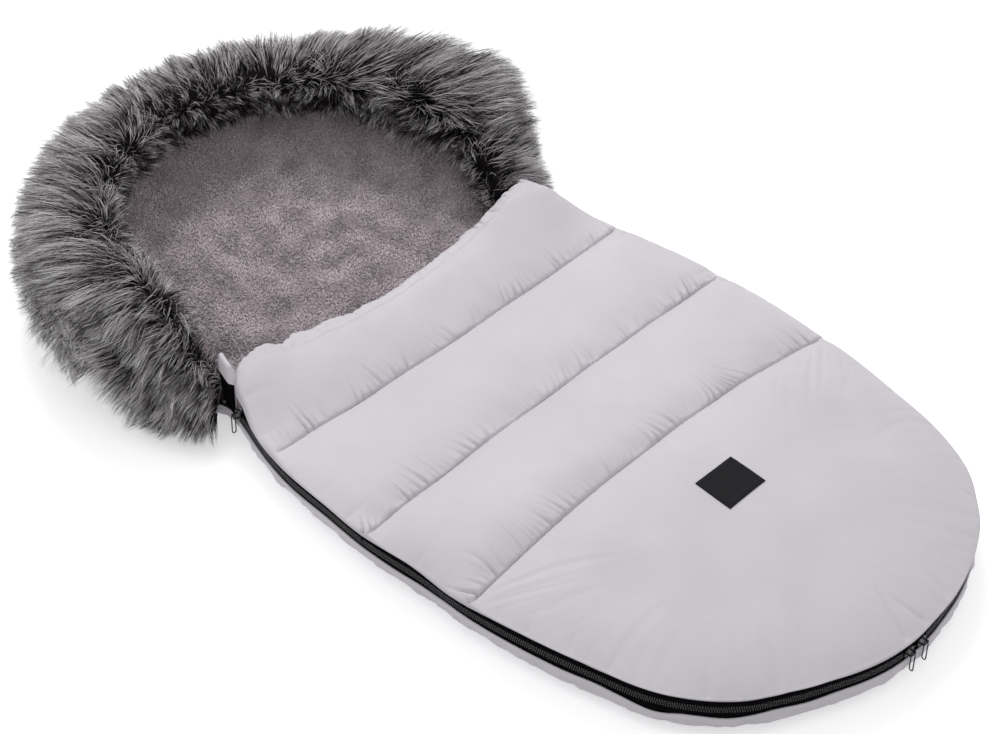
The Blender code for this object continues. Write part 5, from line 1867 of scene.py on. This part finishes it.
@dataclass
class FurTrim:
    """Long fur sewn to the edge of the hood: an undercoat with separate guard hairs combed outward."""

    wardrobe: Wardrobe
    locks: int = 6400
    hairs_each: int = 12
    points_each: int = 5
    hair_radius: float = 0.00040
    inner_length: float = 0.027
    extra_length: float = 0.037
    lock_spread: float = 0.0030
    lowest: float = 0.020
    highest: float = 0.142
    undercoat_lowest: float = 0.022
    outward: float = 0.045
    inward: float = 0.056
    half_height: float = 0.056
    drop: float = 0.012
    piece_hairs: int = 8000
    left_reach: float = 0.2915
    right_reach: float = 0.2885
    ease: float = 0.010

    def build(self) -> list[bpy.types.Object]:
        """Make the undercoat and the hairs.

        Returns:
            The pieces.
        """
        core = self._core()
        fix_to(core, "back", "fur", "fur_trim", "hood_rim_binding")
        return [core, *self._hairs()]

    @staticmethod
    def _reach(heading: Array) -> Array:
        """How long the hair is round the hood, as a share of its usual length: the pile lies unevenly."""
        places = np.radians([-24, -8, 10, 26, 42, 62, 85, 110, 132, 152, 176, 192, 204])
        shares = [0.60, 0.95, 1.50, 1.16, 0.82, 0.72, 0.70, 0.78, 0.90, 1.12, 1.42, 1.10, 0.86]
        return np.interp(heading, places, shares)

    def _span(self) -> tuple[float, float]:
        """First and last heading of the fur about the hood's centre."""
        start = PLAN.neck[2]
        return start, math.pi - start

    def _fullness(self, heading: Array) -> Array:
        """Fullness of the trim: it thins towards each shoulder."""
        start, end = self._span()
        near = np.minimum(heading - start, end - heading) * PLAN.hood_radius
        return mix(0.72, 1.0, np.sqrt(np.clip(near / 0.13, 0.0, 1.0)))

    def _section(self, heading: Array, turn: Array, size: Array) -> Array:
        """Points on the trim's cross-section.

        Args:
            heading: place round the hood.
            turn: angle in the cross-section, 0 outward and 90 degrees up.
            size: share of the trim's full size.

        Returns:
            Points in space.
        """
        point, normal, share = PLAN.hood_line(heading)
        full = self._fullness(heading) * size
        offset = (self.outward - self.inward) / 2 + full * (self.outward + self.inward) / 2 * np.cos(turn)
        height = BACK.rim(share) - self.drop + full * self.half_height * np.sin(turn)
        place = point + offset[..., None] * normal
        return np.concatenate([place, height[..., None]], axis=-1)

    def _core(self) -> bpy.types.Object:
        """The dense undercoat that closes the gaps among the hairs."""
        start, end = self._span()
        heading = np.linspace(start, end, 120)[:, None]
        turn = np.radians(np.linspace(-46, 206, 30))[None]
        size = 0.56 + 0.05 * Ripple(0.03, 401)(heading * PLAN.hood_radius, turn * 0.05)
        ends = np.minimum(1.0, np.sqrt(np.minimum(heading - start, end - heading) / 0.05 + 0.05))
        grid = self._section(heading + 0 * turn, turn + 0 * heading, size * ends)
        grid[..., 2] = np.maximum(grid[..., 2], self.undercoat_lowest)
        point, normal, share = PLAN.hood_line(heading[:, 0])
        foot = [np.column_stack([point + offset * normal, BACK.rim(share) + 0.0005])
                for offset in (-0.016, -0.001)]
        sections = np.concatenate([grid, np.stack(foot, axis=1)], axis=1)
        core = swept_piece("fur_undercoat", sections, self.wardrobe.undercoat, smooth_below=180.0)
        amount = len(core.data.vertices)
        vertex_values(core, "along", np.random.default_rng(5).random(amount))
        vertex_values(core, "tone", np.random.default_rng(6).random(amount))
        return core

    def _hairs(self) -> list[bpy.types.Object]:
        """All the guard hairs, gathered in locks, in pieces.

        Returns:
            The pieces.
        """
        rng = np.random.default_rng(11)
        start, end = self._span()
        locks = self.locks
        pile = Pile("fur_hairs", self.wardrobe.fur, "fur", self.piece_hairs, 500, 2)
        lock_heading = rng.uniform(start, end, locks)
        lock_turn = mix(-44.0, 208.0, rng.random(locks))
        lock_tone = np.clip(0.58 + 0.42 * rng.normal(size=locks), -0.4, 1.4)
        lock_swing = rng.normal(size=(locks, 3)) * np.array([0.15, 0.15, 0.13])
        lock_length = rng.uniform(0.74, 1.10, locks)
        owner = np.repeat(np.arange(locks), self.hairs_each)
        count = len(owner)
        spread = rng.normal(size=(2, count)) * self.lock_spread
        heading = np.clip(lock_heading[owner] + spread[0] / PLAN.hood_radius, start, end)
        degrees = np.clip(lock_turn[owner] + np.degrees(spread[1] / 0.030), -46.0, 210.0)
        turn = np.radians(degrees)
        arc = heading * PLAN.hood_radius
        girth = turn * 0.053
        roots = self._section(heading, turn, rng.uniform(0.34, 0.52, count))
        normal = PLAN.hood_line(heading)[1]
        outward = np.column_stack([normal, np.zeros(count)])
        along = np.column_stack([-normal[:, 1], normal[:, 0], np.zeros(count)])
        up = np.array([0.0, 0.0, 1.0])
        radial = np.cos(turn)[:, None] * outward + np.sin(turn)[:, None] * up
        inner = smoothstep(degrees, 122.0, 160.0)[:, None]
        sweep = 0.85 * bump_between(heading, math.radians(-25), math.radians(68))[:, None]
        comb = (1 - inner) * (1.05 * outward + 0.02 * up - sweep * along)
        comb = comb + inner * (-0.50 * outward + 0.25 * up)
        swirl = Ripple(0.085, 421)(arc, girth)[:, None] * along * 0.34
        lift = Ripple(0.060, 422)(arc, girth)[:, None]
        stray = rng.normal(size=(count, 3)) * 0.055
        first = radial * (0.72 + 0.16 * lift) + comb * 0.62 + swirl + stray + 0.5 * lock_swing[owner]
        last = radial * 0.20 + comb * (1.0 + 0.12 * lift) + 1.5 * swirl + stray + lock_swing[owner]
        last = last - 0.34 * up
        first /= np.linalg.norm(first, axis=-1, keepdims=True)
        last /= np.linalg.norm(last, axis=-1, keepdims=True)
        length = self.inner_length + self.extra_length * (1 - inner[:, 0])
        length = length * lock_length[owner] * rng.uniform(0.74, 1.12, count)
        length *= self._fullness(heading) * self._reach(heading)
        steps = self.points_each - 1
        paths = [roots]
        for k in range(steps):
            direction = mix(first, last, ((k + 0.5) / steps) ** 0.85)
            direction /= np.linalg.norm(direction, axis=-1, keepdims=True)
            paths.append(paths[-1] + direction * (length / steps)[:, None])
        paths = self._gathered(np.stack(paths, axis=1), locks)
        paths = self._kept_in(paths, heading)
        taper = np.linspace(1.0, 0.38, steps)[None]
        radii = self.hair_radius * rng.uniform(0.75, 1.2, (count, 1)) * taper
        tone = lock_tone[owner] + 0.40 * rng.normal(size=count)
        tone = np.clip(tone + 0.20 * Ripple(0.035, 425)(arc, girth) - 0.50 * inner[:, 0], 0, 1)
        return pile.build(paths, radii, tone)

    def _gathered(self, paths: Array, locks: int) -> Array:
        """Draw the hairs of each lock together towards their tips."""
        grouped = paths.reshape(locks, self.hairs_each, *paths.shape[1:])
        middle = grouped.mean(axis=1, keepdims=True)
        pull = np.linspace(0.0, 1.0, paths.shape[1])[None, None, :, None] ** 1.3 * 0.55
        return mix(grouped, middle, pull).reshape(paths.shape)

    def _kept_in(self, paths: Array, heading: Array) -> Array:
        """Hold every hair over the floor and inside the reach of the trim."""
        paths = paths.copy()
        paths[..., 2] = np.clip(paths[..., 2], self.lowest, self.highest)
        flat = paths[..., :2] - PLAN.hood_centre
        radius = np.linalg.norm(flat, axis=-1, keepdims=True)
        stray = np.random.default_rng(17).normal(size=len(heading)) * 0.0045
        limit = PLAN.hood_radius + self.outward * (0.62 + 0.62 * self._reach(heading)) + stray
        over = np.maximum(radius - limit[:, None, None], 0.0)
        paths[..., :2] -= flat / radius * over * 0.75
        for sign, reach in ((-1.0, self.left_reach), (1.0, self.right_reach)):
            past = np.maximum(sign * paths[..., 0] - (reach - self.ease), 0.0)
            paths[..., 0] -= sign * (past - self.ease * (1 - np.exp(-past / self.ease)))
        return paths


# Zips


@dataclass
class SideZips:
    """Both side zips: tape and coil on the back and on each panel of the cover."""

    wardrobe: Wardrobe
    half_gap: float = 0.0007
    coil_width: float = 0.0024
    back_reach: float = 0.0145
    cover_reach: float = 0.0124
    shoulder_reach: float = 0.014
    end_gap: float = 0.0024
    half_thickness: float = 0.0004
    bow: float = 0.0006
    pitch: float = 0.0021
    tooth_height: float = 0.0018
    tooth_width: float = 0.00062

    def build(self) -> list[bpy.types.Object]:
        """Make the zips of both sides.

        Returns:
            The pieces.
        """
        pieces = []
        seams = [PLAN.zip_s_at(y) for y in PLAN.seam_y]
        starts = [PLAN.zip_inset, *seams]
        ends = [*seams, PLAN.zip_length - PLAN.zip_inset]
        back_end = PLAN.zip_length - self.end_gap
        for hand in Hand:
            lower = self._half(f"back_zip_{hand.word}", hand, self.end_gap, back_end, False)
            pieces.append(fix_to(lower, "back", "webbing", f"back_zip_half_{hand.word}"))
            for panel, start, end in zip(Panel, starts, ends):
                name = f"{panel.name.lower()}_zip_{hand.word}"
                upper = self._half(name, hand, start, end, True)
                node = f"{panel.body}_zip_half_{hand.word}"
                pieces.append(fix_to(upper, panel.body, "webbing", node))
        return pieces

    def _half(self, name: str, hand: Hand, start: float, end: float, upward: bool) -> bpy.types.Object:
        """Tape of one half with its coil.

        Args:
            name: name of the piece.
            hand: side of the footmuff.
            start: zip length at which it starts.
            end: zip length at which it ends.
            upward: whether it is the cover's half, above the middle of the zip.

        Returns:
            The piece.
        """
        s = np.linspace(start, end, max(int((end - start) / 0.004), 4))
        point, normal = PLAN.zip_point(s)
        sign = 1.0 if upward else -1.0
        far = np.full(len(s), self.back_reach)
        if upward:
            rise = smoothstep(s, PLAN.zip_length - 0.050, PLAN.zip_length - 0.022)
            far = self.cover_reach + self.shoulder_reach * rise
        outer, inner = [], []
        for share in np.arange(7) / 6:
            level = mix(self.half_gap, far, share)
            bow = self.bow * math.sin(math.pi * share)
            for side, rows in ((self.half_thickness, outer), (-self.half_thickness, inner)):
                rows.append(np.column_stack([point + (side + bow) * normal, ZIP.level + sign * level]))
        sections = np.stack([*outer, *inner[::-1]], axis=1)
        sections[..., 0] *= hand.value
        sections = PLAN.warped(sections)
        count, size, _ = sections.shape
        tape_faces = swept_faces(count, size)
        teeth, tooth_faces = self._teeth(hand, start, end, sign, count * size)
        points = np.concatenate([sections.reshape(-1, 3), teeth])
        slots = np.repeat([0, 1], [sum(map(len, tape_faces)), sum(map(len, tooth_faces))])
        return mesh_object(name, points, [*tape_faces, *tooth_faces],
                           [self.wardrobe.tape, self.wardrobe.coil], slots, smooth_below=50.0)

    def _teeth(self, hand: Hand, start: float, end: float, sign: float,
               first: int) -> tuple[Array, list[Array]]:
        """Ribs of the coil: a six-sided bar across the zip for each turn.

        Args:
            hand: side of the footmuff.
            start: zip length at which they start.
            end: zip length at which they end.
            sign: 1 for the cover's half and -1 for the back's, half a turn further on.
            first: index of their first vertex.

        Returns:
            Vertices and faces.
        """
        shift = 0.0 if sign > 0 else self.pitch / 2
        s = np.arange(math.ceil(start / self.pitch) * self.pitch + shift + 0.0004, end - 0.0006, self.pitch)
        point, normal = PLAN.zip_point(s)
        along = np.column_stack([-normal[:, 1], normal[:, 0]])
        rows = []
        for level in (-0.0005, self.coil_width + 0.0004):
            for k in range(6):
                angle = 2 * math.pi * k / 6
                place = point + self.tooth_height * math.sin(angle) * normal
                place = place + self.tooth_width * math.cos(angle) * along
                height = np.full(len(s), ZIP.level + sign * (self.half_gap + level))
                rows.append(np.column_stack([place, height]))
        bars = np.stack(rows, axis=1)
        bars[..., 0] *= hand.value
        return PLAN.warped(bars).reshape(-1, 3), bar_faces(len(s), 6, first)


# Small parts


@dataclass
class SmallParts:
    """Pulls, sliders, stops, zip garages, slot bindings and the bare patch.

    The garage levels are the heights of a garage's top and of the upper edge of its dark part, left and
    right. The binding rings are how far each ring of a slot's binding lies outward, and its height.
    """

    wardrobe: Wardrobe
    garage_length: float = 0.024
    garage_foot: float = 0.0275
    garage_levels: tuple[tuple[float, float], ...] = ((0.090, 0.066), (0.066, 0.052))
    binding_rings: tuple[tuple[float, float], ...] = (
        (0.0, 0.0012), (0.0, 0.0168), (0.0006, 0.0182), (0.0022, 0.0187),
        (0.0040, 0.0182), (0.0045, 0.0172), (0.0012, 0.0168), (0.0012, 0.0012))

    def build(self) -> list[bpy.types.Object]:
        """Dress the metal nodes and make the soft small parts.

        Returns:
            The new pieces.
        """
        self._dress_metal()
        pieces = [self._garage(hand) for hand in Hand]
        pieces.append(self._patch())
        pieces.extend(self._slot_bindings())
        return pieces

    def _dress_metal(self) -> None:
        """Give the sliders, pulls and stops their plated finish."""
        for name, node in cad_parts.items():
            if "slider" in name or "pull" in name or "stop" in name:
                for place in node.material_slots:
                    place.material = self.wardrobe.metal

    def _garage(self, hand: Hand) -> bpy.types.Object:
        """Folded tab of shell cloth over the end of a zip, with the zip's dark tape on its outer face."""
        steps = 16
        share = np.linspace(0.0, 1.0, steps + 1)
        point, normal = PLAN.zip_point(PLAN.zip_length - 0.002 + self.garage_length * share)
        bow = np.maximum(1.0 - np.abs(2 * share - 1) ** 7, 0.0) ** 0.25
        top, foot = self.garage_levels[0 if hand is Hand.LEFT else 1]
        high = mix(top - 0.005, top, np.maximum(bow, 0.05))
        thick = 0.0010 + 0.0028 * bow
        rows, size = [], 24
        for k in range(size):
            angle = 2 * math.pi * k / size
            across = np.sign(math.cos(angle)) * abs(math.cos(angle)) ** 0.5
            level = 0.5 + 0.5 * np.sign(math.sin(angle)) * abs(math.sin(angle)) ** 0.8
            offset = thick * across + 0.004 * level * bow
            height = mix(self.garage_foot, high, level)
            rows.append(np.column_stack([point + offset[:, None] * normal, height]))
        sections = np.stack(rows, axis=1)
        sections[..., 0] *= hand.value
        faces = swept_faces(len(sections), size)
        points = sections.reshape(-1, 3)
        middle = points[faces[0]].mean(axis=1)
        dark = (middle[:, 2] < foot) & (PLAN.beyond(middle[:, 0], middle[:, 1]) > 0.0006)
        piece = mesh_object(f"zip_garage_tab_{hand.word}", points, faces,
                            [self.wardrobe.cover, self.wardrobe.tape], np.concatenate([dark, [0, 0]]), 75.0)
        fix_to(piece, "back", "shell_fabric", f"zip_garage_{hand.word}")
        return piece

    def _patch(self) -> bpy.types.Object:
        """Bare woven patch on the toe panel, with its edges folded under."""
        low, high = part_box("toe_patch")
        columns, rows = 25, 21
        x = np.linspace(low.x, high.x, columns)
        y = np.linspace(low.y, high.y, rows)
        gx, gy = np.meshgrid(x, y)
        edge = np.minimum(np.minimum(gx - low.x, high.x - gx), np.minimum(gy - low.y, high.y - gy))
        base = self._cloth_height(gx, gy)
        fold = 0.0012 - 0.0006 * smoothstep(edge, 0.0035, 0.0050)
        round_off = 0.0008 * (1 - smoothstep(edge, 0.0, 0.0016))
        over = np.stack([gx, gy, base + 0.0006 + fold - round_off], axis=-1)
        under = np.stack([gx, gy, base - 0.0004], axis=-1)
        points = np.concatenate([over.reshape(-1, 3), under.reshape(-1, 3)])
        size = rows * columns
        index = np.arange(size).reshape(rows, columns)
        loop = np.concatenate([index[0, :-1], index[:-1, -1], index[-1, :0:-1], index[:0:-1, 0]])
        rim = np.stack([loop, np.roll(loop, -1), np.roll(loop, -1) + size, loop + size], axis=-1)[:, ::-1]
        faces = [grid_faces(rows, columns), grid_faces(rows, columns, start=size)[:, ::-1], rim]
        piece = mesh_object("bare_patch", points, faces, [self.wardrobe.patch], smooth_below=50.0)
        return fix_to(piece, Panel.TOE.body, "webbing", "toe_patch")

    @staticmethod
    def _cloth_height(x: Array, y: Array) -> Array:
        """Height of the finished cloth under the patch."""
        heights = np.zeros(x.size)
        down = Vector((0.0, 0.0, -1.0))
        for name in ("cover_cloth_1", "cover_cloth_2"):
            tree = BVHTree.FromObject(bpy.data.objects[name], bpy.context.evaluated_depsgraph_get())
            for number, place in enumerate(zip(x.ravel(), y.ravel())):
                found = tree.ray_cast(Vector((*place, 1.0)), down)[0]
                if found is not None:
                    heights[number] = max(heights[number], found.z)
        return heights.reshape(x.shape)

    def _slot_bindings(self) -> list[bpy.types.Object]:
        """Rounded binding round each harness slot."""
        pieces = []
        for slot in SLOTS:
            loops = []
            for grow, height in self.binding_rings:
                loop = slot.outline(grow)
                loops.append(np.column_stack([loop, np.full(len(loop), height)]))
            rings = np.stack(loops)
            count, size, _ = rings.shape
            index = np.arange(count * size).reshape(count, size)
            closed = np.concatenate([index, index[:1]])
            closed = np.concatenate([closed, closed[:, :1]], axis=1)
            quads = np.stack([closed[:-1, :-1], closed[:-1, 1:], closed[1:, 1:], closed[1:, :-1]], axis=-1)
            piece = mesh_object(f"{slot.binding}_tape", rings.reshape(-1, 3), [quads.reshape(-1, 4)],
                                [self.wardrobe.binding], smooth_below=60.0)
            pieces.append(fix_to(piece, "back", "webbing", slot.binding))
        return pieces


# Studio


@dataclass
class Studio:
    """Pale floor, soft light and the camera at the photograph's angle."""

    lens: float = 99.88
    place: tuple[float, float, float] = (-1.4195, -1.3164, 1.7848)
    heading: float = 0.82921
    dip: float = 0.73464
    roll: float = 0.02458
    floor_glow: float = 0.46
    ambient: float = 0.62

    def build(self) -> None:
        """Make the camera, the floor, the world and the lamps."""
        self._camera()
        self._floor()
        self._world()
        self._lamp("key", (1.25, 1.9, 2.9), 1.9, 53.0)
        self._lamp("fill", (-0.3, -0.8, 2.9), 1.8, 4.0)
        self._lamp("rim", (-1.3, 1.0, 1.9), 1.6, 6.0)

    def _camera(self) -> None:
        """Camera at the photograph's viewing angle."""
        data = bpy.data.cameras.new("photo_view")
        data.sensor_width = 36.0
        data.lens = self.lens
        data.clip_start = 0.05
        camera = bpy.data.objects.new("photo_view", data)
        camera.location = self.place
        level = math.cos(self.dip)
        ahead = Vector((math.sin(self.heading) * level, math.cos(self.heading) * level, -math.sin(self.dip)))
        turn = ahead.to_track_quat("-Z", "Y") @ Quaternion((0.0, 0.0, 1.0), self.roll)
        camera.rotation_euler = turn.to_euler()
        bpy.context.collection.objects.link(camera)
        bpy.context.scene.camera = camera

    @staticmethod
    def _seen(sheet: NodeSheet) -> bpy.types.NodeSocket:
        """1 for rays from the camera, a mirror or glass."""
        path = sheet.add("ShaderNodeLightPath")
        first = sheet.math("MAXIMUM", path.outputs["Is Camera Ray"], path.outputs["Is Glossy Ray"])
        return sheet.math("MAXIMUM", first, path.outputs["Is Transmission Ray"])

    def _floor(self) -> None:
        """Pale floor that is white to the camera and keeps the shadow."""
        corners = np.array([[-4, -4, 0], [4, -4, 0], [4, 4, 0], [-4, 4, 0]], float)
        material, sheet, shader = start_material("pale_floor")
        sheet.set(shader, {
            "Base Color": (0.86, 0.86, 0.87), "Roughness": 0.95, "Specular IOR Level": 0.05,
            "Emission Color": (1.0, 1.0, 1.0),
            "Emission Strength": sheet.math("MULTIPLY", self._seen(sheet), self.floor_glow)})
        floor = mesh_object("studio_floor", corners, [np.array([[0, 1, 2, 3]])], [material])

    def _world(self) -> None:
        """Even white surroundings."""
        world = bpy.data.worlds.new("studio")
        world.use_nodes = True
        sheet = NodeSheet(world.node_tree)
        strength = sheet.ramp(self._seen(sheet), 0.0, 1.0, self.ambient, 1.0)
        sheet.set(world.node_tree.nodes["Background"], {"Color": (1.0, 1.0, 1.0), "Strength": strength})
        bpy.context.scene.world = world
        bpy.context.scene.view_settings.view_transform = "Standard"

    @staticmethod
    def _lamp(name: str, place: tuple[float, float, float], size: float, power: float) -> None:
        """Large soft lamp that points at the middle of the footmuff."""
        data = bpy.data.lights.new(name, "AREA")
        data.shape = "DISK"
        data.size = size
        data.energy = power
        lamp = bpy.data.objects.new(name, data)
        lamp.location = place
        toward = Vector((0.0, 0.05, 0.03)) - Vector(place)
        lamp.rotation_euler = toward.to_track_quat("-Z", "Y").to_euler()
        bpy.context.collection.objects.link(lamp)


def main() -> None:
    """Dress the whole footmuff and report each sub-assembly."""
    logging.basicConfig(level=logging.INFO, format="%(message)s")
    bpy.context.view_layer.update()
    Studio().build()
    wardrobe = Wardrobe()
    assemblies = (QuiltedCover(wardrobe), PaddedBack(wardrobe), PlushBed(wardrobe), FurTrim(wardrobe),
                  SideZips(wardrobe), SmallParts(wardrobe))
    for assembly in assemblies:
        pieces = assembly.build()
        log.info("%s: %d pieces", type(assembly).__name__, len(pieces))


if __name__ == "__main__":
    main()
